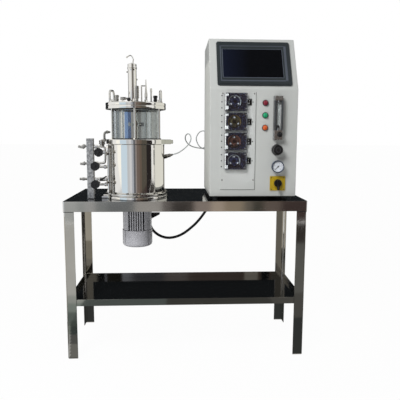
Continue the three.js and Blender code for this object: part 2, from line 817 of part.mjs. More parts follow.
// Branch lines, valve bodies, the riser and its bosses are welded into one spool.
function pipeSpool() {
  const start = postRight + seat;
  const parts = [
    strut([start, postY, levelOne], [dropX, postY, levelOne], pipeRadius),
    strut([dropX, postY, levelOne + pipeRadius], [dropX, postY, levelTwo - pipeRadius], pipeRadius),
    strut([start, postY, levelTwo], [dropX, postY, levelTwo], pipeRadius),
    strut([valves[1].x, postY, levelTwoLower], [riserX, postY, levelTwoLower], pipeRadius),
    strut([start, postY, levelThree], [riserX, postY, levelThree], pipeRadius),
    strut([valves[2].x, postY, levelThreeLower], [riserX, postY, levelThreeLower], pipeRadius),
    strut([valves[0].x, postY, valves[0].z], [dropX, postY, valves[0].z], pipeRadius),
    strut([leverAt[0] - 9, postY, levelThree], [leverAt[0] + 13, postY, levelThree], 8, medium),
    bar(riserX, postY, jacketBottom + seat, flangeBottom - 4, riserRadius, medium),
    bar(riserX, postY, jacketBottom + seat, jacketBottom + 8, riserRadius + 1, 6),
  ];
  for (const height of bossHeights) {
    const inner = (jacketRadius + seat) / riserReach;
    const end = [vesselX + riserOffX * inner, vesselY + riserOffY * inner, height];
    parts.push(strut([riserX, postY, height], end, pipeRadius));
  }
  const bores = [];
  for (const valve of valves) {
    parts.push(barY(valve.x, valve.z, postY - 12, postY + 11, valve.body));
    parts.push(barY(valve.x, valve.z, bonnetFront, postY - 10, 9, medium, 6));
    bores.push(barY(valve.x, valve.z, bonnetFront - 1, bonnetFront + 12, bore(stemRadius, coarse), coarse));
  }
  parts.push(barY(...leverAt, postY - 12, postY, 6));
  bores.push(barY(...leverAt, postY - 13, postY - 3, bore(stemRadius, coarse), coarse));
  return cut(join(...parts), ...bores);
}

// A round hand wheel with shallow finger hollows, on its stem. Modelled about its own axis.
function handWheel() {
  const back = wheelThick / 2;
  const rim = turned([
    [0, -back],
    [wheelRadius - 3, -back],
    [wheelRadius, -back + 3],
    [wheelRadius, back - 3],
    [wheelRadius - 3, back],
    [0, back],
  ], round).rotateX(Math.PI / 2);
  const hollows = [];
  for (let grip = 0; grip < 6; grip += 1) {
    const angle = (grip / 6) * 2 * Math.PI;
    const reach = wheelRadius + 4.5;
    hollows.push(barY(reach * Math.cos(angle), reach * Math.sin(angle), -back - 1, back + 1, 6, coarse));
  }
  const stemEnd = bonnetFront + 11 - (wheelFront + back);
  const hub = barY(0, 0, back - 1, bonnetFront - wheelFront - back - seat, 7, medium);
  return join(cut(rim, ...hollows), hub, barY(0, 0, back - 1, stemEnd, stemRadius, coarse));
}

function valveLever() {
  const angle = THREE.MathUtils.degToRad(31);
  const grip = block(-5, 27, -8.5, -4.5, -3, 3).rotateY(-angle);
  return join(grip, barY(0, 0, -9.5, -seat, 6, medium), barY(0, 0, -1, 8, stemRadius, coarse));
}

piece(onTop, 'manifold_post', manifoldPost(), brushedSteel);
piece(onTop, 'pipe_spool', pipeSpool(), polishedSteel);
for (const valve of valves) {
  const place = [valve.x, wheelFront + wheelThick / 2, valve.z];
  piece(onTop, `handwheel_${valve.name}`, handWheel(), blackPlastic, place);
}
piece(onTop, 'drain_lever', valveLever(), blackPlastic, [leverAt[0], postY - 12, leverAt[1]]);

// ---------------------------------------------------------------- cabinet
const cabinet = new THREE.Group();
cabinet.position.x = cabinetX;
onTop.add(cabinet);

const slope = Math.atan2(topFront - cabinetFront, cabinetHeight - bendHeight);
const half = cabinetWidth / 2;
const faceY = cabinetFront - seat;

// The sloping screen panel has its own axes: across, up the slope, and out of it.
const screenAlong = 118;
const screenX = 3;
const bezelWidth = 306;
const bezelHeight = 209;
const bezelThick = 8;
const canWidth = 280;
const canHeight = 184;
const canDepth = 34;

function onSlope(geometry) {
  const y = cabinetFront + screenAlong * Math.sin(slope);
  const z = bendHeight + screenAlong * Math.cos(slope);
  return geometry.rotateX(Math.PI / 2 - slope).translate(screenX, y, z);
}

// Side outline of the cabinet, drawn in Y and Z, shrunk by a margin for the inside.
function sideOutline(margin, rear, floor) {
  const front = cabinetFront + margin;
  const top = cabinetHeight - margin;
  const lift = margin * Math.tan(slope / 2);
  const rise = top - (bendHeight - lift);
  return [
    [front, floor],
    [front, bendHeight - lift],
    [front + rise * Math.tan(slope), top],
    [rear, top],
    [rear, floor],
  ].map(([y, z]) => new THREE.Vector2(y, z));
}

// The outline pulled sideways: Y and Z stay, the pull goes along X.
function sideways(outline, width) {
  const geometry = plate(outline, -width / 2, width / 2);
  geometry.applyMatrix4(new THREE.Matrix4().set(0, 0, 1, 0, 1, 0, 0, 0, 0, 1, 0, 0, 0, 0, 0, 1));
  return geometry;
}

const gaugeX = 98.5;
const gaugeZ = 141;
const regulatorX = 97;
const regulatorZ = 209.3;
const regulatorStem = 5;

function cabinetShell() {
  const outer = sideways(sideOutline(0, cabinetRear, footHeight + seat), cabinetWidth);
  const inner = sideways(
    sideOutline(cabinetSheet, cabinetRear + 1, footHeight - 5),
    cabinetWidth - 2 * cabinetSheet,
  );
  const margin = 6;
  const pumpOpening = block(
    pumpPanelX - pumpPanelWidth / 2 + margin, pumpPanelX + pumpPanelWidth / 2 - margin,
    cabinetFront - 5, cabinetFront + 5,
    pumpPanelBottom + margin, pumpPanelBottom + pumpPanelHeight - margin,
  );
  const screenOpening = onSlope(block(
    -canWidth / 2 - seat, canWidth / 2 + seat, -canHeight / 2 - seat, canHeight / 2 + seat, -canDepth - 3, 5,
  ));
  const stemHole = bore(regulatorStem, coarse);
  const knobHole = barY(regulatorX, regulatorZ, cabinetFront - 5, cabinetFront + 5, stemHole, coarse);
  return cut(outer, inner, pumpOpening, screenOpening, knobHole);
}

// The floor of the cabinet with its four feet.
function cabinetBase() {
  const inset = cabinetSheet + seat;
  const floor = block(
    -half + inset, half - inset, cabinetFront + inset, cabinetRear - cabinetSheet - 2 * seat,
    footHeight + seat, footHeight + seat + 2,
  );
  const parts = [floor];
  for (const x of [-half + 24, half - 24]) {
    for (const y of [cabinetFront + 22, cabinetRear - 24]) {
      parts.push(bar(x, y, seat, footHeight + seat + 1, 11, medium, 14));
    }
  }
  const holeRadius = bore(glandRadius, medium);
  const cableHole = bar(glandX - cabinetX, glandY, footHeight - 5, footHeight + 5, holeRadius);
  return cut(join(...parts), cableHole);
}

const socketX = 140;
const socketZ = 213;

function cabinetBack() {
  const inset = cabinetSheet + seat;
  const sheet = block(
    -half + inset, half - inset, cabinetRear - cabinetSheet, cabinetRear,
    footHeight + seat, cabinetHeight - inset,
  );
  const vents = [];
  for (let row = 0; row < 7; row += 1) {
    const z = 420 + row * 14;
    vents.push(block(20, 130, cabinetRear - 5, cabinetRear + 5, z, z + 5));
  }
  return cut(sheet, ...vents);
}

function rearSocket() {
  return join(
    barY(socketX, socketZ, cabinetRear + seat, cabinetRear + 4, 12, 6),
    barY(socketX, socketZ, cabinetRear + 3, 183, 9, medium),
  );
}

function cableGland() {
  const under = footHeight;
  return join(
    bar(glandX, glandY, -22, -13, 7.5, medium, glandRadius),
    bar(glandX, glandY, -14, under + 8, glandRadius, medium),
    bar(glandX, glandY, 3, under, 14, 6),
  );
}

// Touch panel: a bezel with a sunken screen, and the can behind it.
function touchPanel() {
  const bezel = plate(roundRectangle(bezelWidth, bezelHeight, 9), seat, bezelThick - 2);
  const brow = plate(roundRectangle(bezelWidth - 12, bezelHeight - 12, 6), bezelThick - 3, bezelThick);
  const can = block(-canWidth / 2, canWidth / 2, -canHeight / 2, canHeight / 2, -canDepth, 1);
  const screen = block(-131, 121, -71, 68, bezelThick - 1.2, bezelThick + 1);
  return onSlope(cut(join(bezel, brow, can), screen));
}

piece(cabinet, 'cabinet_shell', cabinetShell(), cabinetPaint);
piece(cabinet, 'cabinet_base', cabinetBase(), darkPlastic);
piece(cabinet, 'cabinet_back_panel', cabinetBack(), cabinetPaint);
piece(cabinet, 'touch_panel', touchPanel(), darkPlastic);
piece(onTop, 'rear_socket', rearSocket(), brushedSteel);
piece(onTop, 'cabinet_cable_gland', cableGland(), blackPlastic);

// ---------------------------------------------------------------- pumps
const panelFace = faceY - pumpPanelThick;
const headFace = panelFace - pumpDepth;
const pumpCount = 4;
const pumpZ = (pump) => pumpTop - pump * pumpPitch;
const rotorX = pumpX + rotorShift;
const rotorPin = 4;
const rockerX = -21.5;
const rockerWide = 15.4;
const rockerTall = 19.4;
const rockerTilt = THREE.MathUtils.degToRad(8);

// One panel carries the four pump heads, each with its round raceway, and the switch frames.
function pumpPanel() {
  const left = pumpPanelX - pumpPanelWidth / 2;
  const top = pumpPanelBottom + pumpPanelHeight;
  const parts = [block(left, left + pumpPanelWidth, panelFace, faceY, pumpPanelBottom, top)];
  const tools = [];
  for (let pump = 0; pump < pumpCount; pump += 1) {
    const z = pumpZ(pump);
    const [w, h] = [pumpWidth / 2, pumpHeight / 2];
    parts.push(block(pumpX - w, pumpX + w, headFace, panelFace + 1, z - h, z + h));
    const pocketFloor = panelFace - 3;
    tools.push(barY(rotorX, z, headFace - 1, pocketFloor, rotorPocket, round));
    tools.push(barY(rotorX, z, pocketFloor - 1, faceY - 1, bore(rotorPin, coarse), coarse));
    parts.push(block(rockerX - 10.5, rockerX + 10.5, panelFace - 2.5, panelFace + 1, z - 13, z + 13));
    const [across, tall] = [rockerWide / 2 + seat, rockerTall / 2 + 1];
    tools.push(block(rockerX - across, rockerX + across, panelFace - 5, faceY + 1, z - tall, z + tall));
  }
  return cut(join(...parts), ...tools);
}

function pumpRotor() {
  const back = pumpDepth - 3 - seat;
  const parts = [
    barY(0, 0, back - 3, back, rotorRadius - 1, round),
    barY(0, 0, 0.5, back, 9, medium),
    barY(0, 0, back - 1, back + 5, rotorPin, coarse),
    barY(0, 0, 0.5, 3, 14, medium),
  ];
  for (let roller = 0; roller < 3; roller += 1) {
    const angle = (roller / 3) * 2 * Math.PI + 0.5;
    const reach = rotorRadius - 7;
    parts.push(barY(reach * Math.cos(angle), reach * Math.sin(angle), 1.5, back - 2, 6.5, coarse));
  }
  return join(...parts);
}

// The clear cover hinges at its left edge and closes over the whole head.
function pumpCover() {
  const [width, halfHeight] = [pumpWidth - 2, pumpHeight / 2 - 1];
  const tall = halfHeight - coverWall;
  const shell = block(0, width, -coverDepth, 0, -halfHeight, halfHeight);
  const room = block(coverWall, width - coverWall, -coverDepth + coverWall, over, -tall, tall);
  const tab = block(width - sunk, width + 2, -coverDepth, -coverDepth + 4, -9, 9);
  return join(cut(shell, room), tab);
}

function rocker() {
  const [w, h] = [rockerWide / 2, rockerTall / 2];
  return block(-w, w, -3.5, 3.5, -h, h).rotateX(rockerTilt);
}

piece(cabinet, 'pump_panel', pumpPanel(), pumpBody);
for (let pump = 0; pump < pumpCount; pump += 1) {
  const z = pumpZ(pump);
  const number = pump + 1;
  piece(cabinet, `pump_rotor_${number}`, pumpRotor(), rotorBlue, [rotorX, headFace, z]);
  const hinge = [pumpX - pumpWidth / 2 + 1, headFace - seat, z];
  piece(cabinet, `pump_cover_${number}`, pumpCover(), clearCover, hinge);
  piece(cabinet, `pump_switch_${number}`, rocker(), blackPlastic, [rockerX, panelFace - 1, z]);
}

// ---------------------------------------------------------------- gas controls
const meterX = 97;
const meterBottom = 248;
const meterTop = 428;
const meterDepth = 24;
const meterBore = 5;
const meterKnobX = 103;
const meterKnobZ = 272;

// A clear block with a bore for the float, open to the front through a slit.
function flowMeter() {
  const front = faceY - meterDepth;
  const body = block(meterX - 18, meterX + 18, front, faceY, meterBottom, meterTop);
  const middle = faceY - meterDepth / 2;
  const tube = bar(meterX, middle, 296, 403, bore(meterBore - seat, coarse), coarse);
  const slit = block(meterX - 1.5, meterX + 1.5, front - 1, middle, 298, 401);
  const knobBore = barY(meterKnobX, meterKnobZ, front - 1, front + 9, bore(stemRadius, coarse), coarse);
  return cut(body, tube, slit, knobBore);
}

function meterFloat() {
  return turned([
    [0, -6],
    [1.5, -6],
    [meterBore - seat, 1],
    [meterBore - seat, 5],
    [0, 6],
  ], coarse);
}

// A turning knob with a skirt and its stem, about its own axis with the back face at zero.
function knob(radius, depth, stem, reach) {
  const cap = turned([
    [0, 0],
    [radius, 0],
    [radius, depth * 0.25],
    [radius - 1.5, depth * 0.35],
    [radius - 2, depth - 2],
    [radius - 4, depth],
    [0, depth],
  ], round).rotateX(Math.PI / 2);
  const mark = block(-0.8, 0.8, -depth - 0.6, -depth + 1, 1, radius - 4);
  return join(cap, mark, barY(0, 0, -1, reach, stem, coarse));
}

const gaugeRadius = 25.7;
const gaugeDepth = 28;
const dialFloor = 5;
const pointerPin = 1.5;

function gaugeCase() {
  const front = faceY - gaugeDepth;
  const profile = turned([
    [0, 0],
    [gaugeRadius - 3, 0],
    [gaugeRadius - 3, gaugeDepth * 0.45],
    [gaugeRadius, gaugeDepth * 0.5],
    [gaugeRadius, gaugeDepth - 2],
    [gaugeRadius - 2, gaugeDepth],
    [0, gaugeDepth],
  ], round).rotateX(Math.PI / 2).translate(gaugeX, faceY, gaugeZ);
  const dial = barY(gaugeX, gaugeZ, front - 1, front + dialFloor, gaugeRadius - 4, round);
  const [pinTop, pinEnd] = [front + dialFloor - over, front + dialFloor + 6];
  const pinHole = barY(gaugeX, gaugeZ, pinTop, pinEnd, bore(pointerPin, coarse), coarse);
  return cut(profile, dial, pinHole);
}

// The pointer lies at zero, towards the lower left of the dial.
function gaugePointer() {
  const angle = THREE.MathUtils.degToRad(-135);
  const outline = [
    [-1.4, -6],
    [1.4, -6],
    [0.5, 17],
    [-0.5, 17],
  ].map(([x, z]) => new THREE.Vector2(x, z));
  const hand = plate(outline, 0, 1.2).rotateX(Math.PI / 2).rotateY(angle);
  return join(hand, barY(0, 0, -2.2, 0.5, 3, coarse), barY(0, 0, -1, 5, pointerPin, coarse));
}

const switchX = 102.5;
const switchZ = 70.5;
const switchAxis = switchZ + 1.5;
const switchPlateThick = 3.5;
const collarThick = 3;
const switchStem = 4;

function switchPlate() {
  const front = faceY - switchPlateThick;
  const sheet = plate(roundRectangle(64, 60, 3), 0, switchPlateThick).rotateX(Math.PI / 2);
  sheet.translate(switchX, faceY, switchZ);
  const collar = barY(switchX, switchAxis, front - collarThick, front + sunk, 22, round);
  const stemTop = front - collarThick - over;
  const stemHole = barY(switchX, switchAxis, stemTop, faceY - 1, bore(switchStem, coarse), coarse);
  return cut(join(sheet, collar), stemHole);
}

function switchHandle() {
  return join(
    barY(0, 0, -9, -seat, 16, round),
    block(-5, 5, -20, -8, -28, 14),
    barY(0, 0, -1, collarThick + 2, switchStem, coarse),
  );
}

piece(cabinet, 'flow_meter_body', flowMeter(), clearCover);
piece(cabinet, 'flow_meter_float', meterFloat(), blackPlastic, [meterX, faceY - meterDepth / 2, 303]);
const meterFront = faceY - meterDepth - seat;
const meterKnobPlace = [meterKnobX, meterFront, meterKnobZ];
piece(cabinet, 'flow_meter_knob', knob(10.5, 9, stemRadius, 7), blackPlastic, meterKnobPlace);
const regulatorPlace = [regulatorX, faceY - 1, regulatorZ];
piece(cabinet, 'regulator_knob', knob(21.5, 31, regulatorStem, 12), blackPlastic, regulatorPlace);
piece(cabinet, 'gauge_case', gaugeCase(), dialWhite);
const dialFace = faceY - gaugeDepth + dialFloor - 1;
piece(cabinet, 'gauge_pointer', gaugePointer(), blackPlastic, [gaugeX, dialFace, gaugeZ]);
piece(cabinet, 'switch_plate', switchPlate(), switchYellow);
const switchFace = faceY - switchPlateThick - collarThick;
piece(cabinet, 'main_switch_handle', switchHandle(), blackPlastic, [switchX, switchFace, switchAxis]);

// ---------------------------------------------------------------- cords
// The motor cable sags under the bench top from the terminal box to the cabinet gland.
const cableRoute = [
  [-161, -40, -113.9],
  [-161, -40, -124],
  [-158.5, -40, -138],
  [-151, -40, -154],
  [-139, -40, -168.5],
  [-122, -39.5, -181.5],
  [-101, -39, -191],
  [-78, -38, -195],
  [-53, -36, -193],
  [-27, -34, -185],
  [-2, -32, -171.5],
  [21, -30, -154],
  [44, -28, -134],
  [66, -26, -110],
  [84, -24, -86],
  [99, -22.4, -64],
  [110, -21, -47],
  [116.5, -20.2, -34],
  [118, -20, -27],
  [118, -20, -22.3],
];

// The sensor lead makes one full turn in front of the cabinet and one behind its edge.
const leadRoute = [
  leadStart,
  [-44, -92.5, 188.1],
  [-31, -87, 193],
  [-12, -72, 205],
  [7, -52, 221],
  [20, -33, 238],
  [25, -17, 255],
  [21, -4, 269],
  [12, 7, 275],
  [3, 18, 268],
  [0, 31, 255],
  [5, 47, 240],
  [17, 67, 226],
  [35, 91, 216],
  [57, 118, 210],
  [77, 147, 207],
  [92, 172, 208],
  [105, 186, 220],
  [113, 194, 242],
  [112, 199, 268],
  [104, 203, 285],
  [92, 205, 291],
  [75, 207, 285],
  [62, 207, 268],
  [58, 206, 250],
  [64, 206, 230],
  [76, 206, 213],
  [94, 208, 203],
  [115, 212, 202],
  [131, 210, 207],
  [139.5, 198, 212],
  [140, 183.3, 213],
];

piece(onTop, 'motor_cable', bent(cableRoute, cableRadius, coarse, 18), cableBlack);
piece(onTop, 'sensor_lead', bent(leadRoute, leadRadius, coarse, 54), leadGrey);

export default bioreactor;
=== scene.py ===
# %% [markdown]
# # A bench bioreactor
# A bioreactor grows cells in a stirred, heated vessel. This one stands on a stainless bench, with its
# control cabinet beside it. The sizes and the joints are fixed already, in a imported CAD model. Blender
# adds what the eye sees: finer shapes, finishes, light and a camera.

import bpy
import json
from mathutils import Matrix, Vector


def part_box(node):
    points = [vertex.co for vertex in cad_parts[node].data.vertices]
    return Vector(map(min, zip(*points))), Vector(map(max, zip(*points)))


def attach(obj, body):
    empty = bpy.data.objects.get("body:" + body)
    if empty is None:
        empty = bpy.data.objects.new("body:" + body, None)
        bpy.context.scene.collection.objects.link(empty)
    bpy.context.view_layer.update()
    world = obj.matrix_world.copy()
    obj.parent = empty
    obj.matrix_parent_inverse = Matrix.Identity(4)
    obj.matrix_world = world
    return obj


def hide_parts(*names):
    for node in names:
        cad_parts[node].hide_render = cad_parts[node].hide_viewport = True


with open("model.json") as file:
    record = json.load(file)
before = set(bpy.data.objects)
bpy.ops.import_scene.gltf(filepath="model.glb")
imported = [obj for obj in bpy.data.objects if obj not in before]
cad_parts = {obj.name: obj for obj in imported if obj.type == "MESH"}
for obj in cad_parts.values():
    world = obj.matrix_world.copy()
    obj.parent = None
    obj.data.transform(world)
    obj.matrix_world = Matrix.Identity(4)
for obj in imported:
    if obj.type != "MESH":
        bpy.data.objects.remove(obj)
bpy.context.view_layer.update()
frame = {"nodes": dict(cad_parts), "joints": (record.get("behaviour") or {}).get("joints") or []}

# %% [markdown]
# Blender counts in metres and a drawing counts in millimetres. The shapes below are drawn in
# millimetres, and only the last step of a piece turns them to metres. Fixed places are read from the
# CAD nodes and joints, so that nothing is placed by eye.

# %% Places that everything else is measured from
import json
import math

import bmesh
import bpy
from mathutils import Matrix, Vector
from mathutils.geometry import interpolate_bezier

MM = 0.001


def corners(node):
    """The lowest and highest corner of a CAD node, in millimetres."""
    low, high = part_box(node)
    return low / MM, high / MM


def axis_of(joint):
    """The place of a joint's axis, in millimetres."""
    found = next(one for one in frame["joints"] if one["name"] == joint)
    return Vector(found["pos_m"]) / MM


bench_top = corners("bench_top_plate")[1].z
vessel_at = axis_of("agitator_drive")
print("bench top at", round(bench_top, 1), "mm, vessel axis at", vessel_at)

# %% [markdown]
# The camera stands at standing height, a little left of the middle and a bit more than two metres away. A
# lens of about 43 mm on a full-frame sensor keeps the upright edges almost parallel. The camera could be
# aimed by a constraint, but three plain turns can be read: how far it looks to the right, how far down,
# and how far it leans.

# %% Camera
scene = bpy.context.scene
eye = (-0.04051, -2.16587, 0.92504)
look_right, look_down, lean = math.radians(-2.85), math.radians(-7.49), math.radians(-0.22)
facing = Matrix.Rotation(look_right, 3, "Z") @ Matrix.Rotation(look_down, 3, "X")
facing = facing @ Matrix.Rotation(lean, 3, "Y") @ Matrix.Rotation(math.radians(90), 3, "X")
camera_data = bpy.data.cameras.new("camera")
camera_data.lens, camera_data.sensor_width = 42.74, 36
camera = bpy.data.objects.new("camera", camera_data)
camera.matrix_world = Matrix.Translation(eye) @ facing.to_4x4()
scene.collection.objects.link(camera)
scene.camera = camera
print("camera looks along", [round(part, 3) for part in -facing.col[2]])

# %% [markdown]
# A finish is a small network of nodes. A few helpers are enough for all of them. One turns a paint
# chart's hex value into the linear numbers that light is mixed with. One adds any node, with its
# settings and its links. One starts a finish with the place on the piece, which patterns are drawn in so
# that they keep their real size, and one ends it with the main shader. Each finish also notes the slot
# of the record that its pieces belong to.

# %% Helpers for finishes
# A Mix node's colour sockets share their names with other sockets, so they are reached by number.
COLOUR_A, COLOUR_B, COLOUR_OUT = 6, 7, 2
slot_of = {}


def srgb(code):
    """A hex colour as the linear red, green, blue and alpha that a shader takes."""
    parts = [int(code[at:at + 2], 16) / 255 for at in (0, 2, 4)]
    return [p / 12.92 if p <= 0.04045 else ((p + 0.055) / 1.055) ** 2.4 for p in parts] + [1]


def add(tree, kind, inputs=None, **settings):
    """Adds a node. An input is a plain value, or another node's output to link."""
    node = tree.nodes.new(kind)
    for name, value in settings.items():
        setattr(node, name, value)
    for name, value in (inputs or {}).items():
        if isinstance(value, bpy.types.NodeSocket):
            tree.links.new(value, node.inputs[name])
        else:
            node.inputs[name].default_value = value
    return node


def start_finish(name, slot=None):
    """A new material, its empty node tree, and the place on the piece in metres."""
    material = bpy.data.materials.new(name)
    material.use_nodes = True
    tree = material.node_tree
    tree.nodes.clear()
    slot_of[material.name] = slot
    return material, tree, add(tree, "ShaderNodeTexCoord").outputs["Object"]


def end_finish(tree, inputs):
    """The main shader with its inputs, and the material's output."""
    shader = add(tree, "ShaderNodeBsdfPrincipled", inputs)
    return add(tree, "ShaderNodeOutputMaterial", {"Surface": shader.outputs["BSDF"]})


def per(size_mm):
    """The scale of a pattern whose features are this many millimetres apart."""
    return 1000 / size_mm


print("helpers for finishes are ready")

# %% [markdown]
# Two cords run on the object. The motor cable is black rubber and sags under the bench top. The sensor
# lead is thin grey PVC and makes one loop in front of the cabinet's edge. Both surfaces are matt. A fine
# grain and a little dust let their colour and gloss vary over a few millimetres. Most plastics and
# rubbers look like that, each with its own two shades and its own gloss, so one function makes them.

# %% Cable rubber and lead PVC


def moulding(name, slot, dark, pale, low=0.25, high=0.4, size=8, detail=4, more=None):
    """Plastic or rubber that varies between two close shades and two levels of gloss."""
    made, tree, place = start_finish(name, slot)
    cloud = add(tree, "ShaderNodeTexNoise", {"Vector": place, "Scale": per(size), "Detail": detail})
    tone = add(tree, "ShaderNodeMix", {"Factor": cloud.outputs["Fac"], COLOUR_A: srgb(dark),
                                       COLOUR_B: srgb(pale)}, data_type="RGBA")
    gloss = add(tree, "ShaderNodeMapRange", {"Value": cloud.outputs["Fac"], "To Min": low, "To Max": high})
    end_finish(tree, {"Base Color": tone.outputs[COLOUR_OUT], "Roughness": gloss.outputs["Result"],
                      "IOR": 1.5, **(more or {})})
    print("made", name)
    return made


rubber = moulding("cable_rubber", None, "101112", "24262A", 0.45, 0.65, 6, 5, {"IOR": 1.52})
lead_pvc = moulding("lead_pvc", None, "9BA0A0", "C9CDCC", 0.3, 0.5, 9, more={"IOR": 1.53})

# %% [markdown]
# A cord is a fixed length of something that bends. A mesh tube would do, but a curve with a round section
# shows its own length, and it goes through the same points as its CAD solid. A smooth way through points
# is made of Bezier spans: each span's handles point along the line between the points on both sides of
# it.

# %% A smooth way through points


def through(points, steps=5):
    """Points along a smooth line through the given ones, with so many steps in each span."""
    points = [Vector(point) for point in points]
    line = [2 * points[0] - points[1], *points, 2 * points[-1] - points[-2]]
    way = []
    for before, start, end, after in zip(line, line[1:], line[2:], line[3:]):
        handles = start + (end - before) / 6, end - (after - start) / 6
        way += interpolate_bezier(start, *handles, end, steps + 1)[:-1]
    return way + [points[-1]]


print("a way through two points has", len(through([(0, 0, 0), (1, 0, 0)])), "points")

# %% [markdown]
# Both cords follow routes of points from the bench top up. The motor cable hangs between two glands under
# its own weight. The stiffer sensor lead stands out of its fitting, makes its loop, and ends at a socket
# in the cabinet's back.

# %% The two cords


def cord(name, finish, route, radius, node):
    """A round cord through points given in millimetres from the bench top."""
    curve = bpy.data.curves.new(name, "CURVE")
    curve.dimensions = "3D"
    curve.bevel_depth = radius * MM
    curve.bevel_resolution = 4
    curve.use_fill_caps = True
    way = through([Vector(point) + Vector((0, 0, bench_top)) for point in route])
    spline = curve.splines.new("POLY")
    spline.points.add(len(way) - 1)
    for point, at in zip(spline.points, way):
        point.co = (*(at * MM), 1)
    spline.use_smooth = True
    curve.materials.append(finish)
    made = bpy.data.objects.new(name, curve)
    scene.collection.objects.link(made)
    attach(made, "bench")
    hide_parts(node)
    length = sum((b - a).length for a, b in zip(way, way[1:])) * MM
    print(name, "is", round(length, 4), "m long")
    return made, [MM * number for number in way[0]]


cable_route = [
    (-161, -40, -113.9), (-161, -40, -124), (-158.5, -40, -138), (-151, -40, -154),
    (-139, -40, -168.5), (-122, -39.5, -181.5), (-101, -39, -191), (-78, -38, -195),
    (-53, -36, -193), (-27, -34, -185), (-2, -32, -171.5), (21, -30, -154),
    (44, -28, -134), (66, -26, -110), (84, -24, -86), (99, -22.4, -64),
    (110, -21, -47), (116.5, -20.2, -34), (118, -20, -27), (118, -20, -22.3),
]
lead_route = [
    (-55.6, -93, 185), (-44, -92.5, 188.1), (-31, -87, 193), (-12, -72, 205),
    (7, -52, 221), (20, -33, 238), (25, -17, 255), (21, -4, 269),
    (12, 7, 275), (3, 18, 268), (0, 31, 255), (5, 47, 240),
    (17, 67, 226), (35, 91, 216), (57, 118, 210), (77, 147, 207),
    (92, 172, 208), (105, 186, 220), (113, 194, 242), (112, 199, 268),
    (104, 203, 285), (92, 205, 291), (75, 207, 285), (62, 207, 268),
    (58, 206, 250), (64, 206, 230), (76, 206, 213), (94, 208, 203),
    (115, 212, 202), (131, 210, 207), (139.5, 198, 212), (140, 183.3, 213),
]
cable, cable_exit = cord("motor_cable_cord", rubber, cable_route, 6, "motor_cable")
lead, lead_exit = cord("sensor_lead_cord", lead_pvc, lead_route, 2.5, "sensor_lead")

# %% [markdown]
# The floor is a wide pale sheet. More lamps would make it white, but they would bleach the object too. So
# where the camera looks at it, straight or by way of a mirror or glass, it is mostly its own white. The
# rest takes the light of the room, and the object still has a soft shadow under it.

# %% Floor
scene.view_settings.view_transform = "Standard"


def seen(tree):
    """One where the camera looks, straight or by way of a mirror or glass, and zero for other light."""
    path = add(tree, "ShaderNodeLightPath")
    straight = add(tree, "ShaderNodeMath", {0: path.outputs["Is Camera Ray"],
                                            1: path.outputs["Is Glossy Ray"]}, operation="MAXIMUM")
    return add(tree, "ShaderNodeMath", {0: straight.outputs[0], 1: path.outputs["Is Transmission Ray"]},
               operation="MAXIMUM").outputs[0]


def standing(name, part, finish):
    """Makes a bmesh part of the studio an object, which isn't part of the bioreactor."""
    mesh = bpy.data.meshes.new(name)
    part.to_mesh(mesh)
    part.free()
    mesh.materials.append(finish)
    made = bpy.data.objects.new(name, mesh)
    scene.collection.objects.link(made)
    return made


floor_finish, tree, place = start_finish("studio_floor")
output = end_finish(tree, {"Roughness": 0.6, "Base Color": srgb("F4F4F2")})
lit = output.inputs["Surface"].links[0].from_socket
own_white, half_floor = 0.975, 60
share = add(tree, "ShaderNodeMath", {0: seen(tree), 1: own_white}, operation="MULTIPLY")
white = add(tree, "ShaderNodeEmission", {"Color": srgb("FFFFFF"), "Strength": 1.0})
mixed = add(tree, "ShaderNodeMixShader", {0: share.outputs[0], 1: lit, 2: white.outputs["Emission"]})
tree.links.new(mixed.outputs["Shader"], output.inputs["Surface"])
sheet = bmesh.new()
bmesh.ops.create_grid(sheet, x_segments=1, y_segments=1, size=half_floor)
standing("studio_floor", sheet, floor_finish)
print("the floor is", 2 * half_floor, "m across")

# %% [markdown]
# The room is a plain white world, dimmer where it lights things than where it is seen. An image of a
# studio could stand in for it, but then every change of a reflection would need a new image. Here the
# cards below make the reflections.

# %% Room
room = bpy.data.worlds.new("white_room")
room.use_nodes = True
tree = room.node_tree
tree.nodes.clear()
level = add(tree, "ShaderNodeMapRange", {"Value": seen(tree), "To Min": 0.22, "To Max": 1.0})
sky = add(tree, "ShaderNodeBackground", {"Color": srgb("FFFFFF"), "Strength": level.outputs["Result"]})
add(tree, "ShaderNodeOutputWorld", {"Surface": sky.outputs["Background"]})
scene.world = room
print("the room is", room.name)

# %% [markdown]
# One broad lamp above and in front gives the shapes a bright side, and a weak one near the floor reaches
# the motor. The lamps stay at a plain level, where paint looks as it is mixed. They are kept out of
# reflections, which belong to the cards.

# %% Lamps


def lamp(name, at, towards, size, watts):
    """A square soft light that looks at a point. All in metres."""
    light = bpy.data.lights.new(name, "AREA")
    light.size = size
    light.energy = watts
    made = bpy.data.objects.new(name, light)
    made.location = at
    made.rotation_euler = (Vector(towards) - Vector(at)).to_track_quat("-Z", "Y").to_euler()
    made.visible_glossy = False
    scene.collection.objects.link(made)
    print("lamp", name, "of", watts, "W")


lamp("key_lamp", (-1.0, -1.9, 2.6), (0.1, 0, 0.8), 0.9, 54)
lamp("low_left_lamp", (-0.75, -1.0, 0.12), (-0.17, -0.1, 0.52), 0.4, 4)

# %% [markdown]
# Polished steel has no look of its own: it shows the room. In an all-white room it would turn white, so a
# photographer stands coloured and dark cards round the object. Here they are seen only in reflections.
# They light nothing and throw no shadow. The ones in front give a vessel its upright bands, the low ones
# colour the bench, and the ones behind darken the edges and the bench top, which mirror the far side of
# the room.

# %% Reflection cards


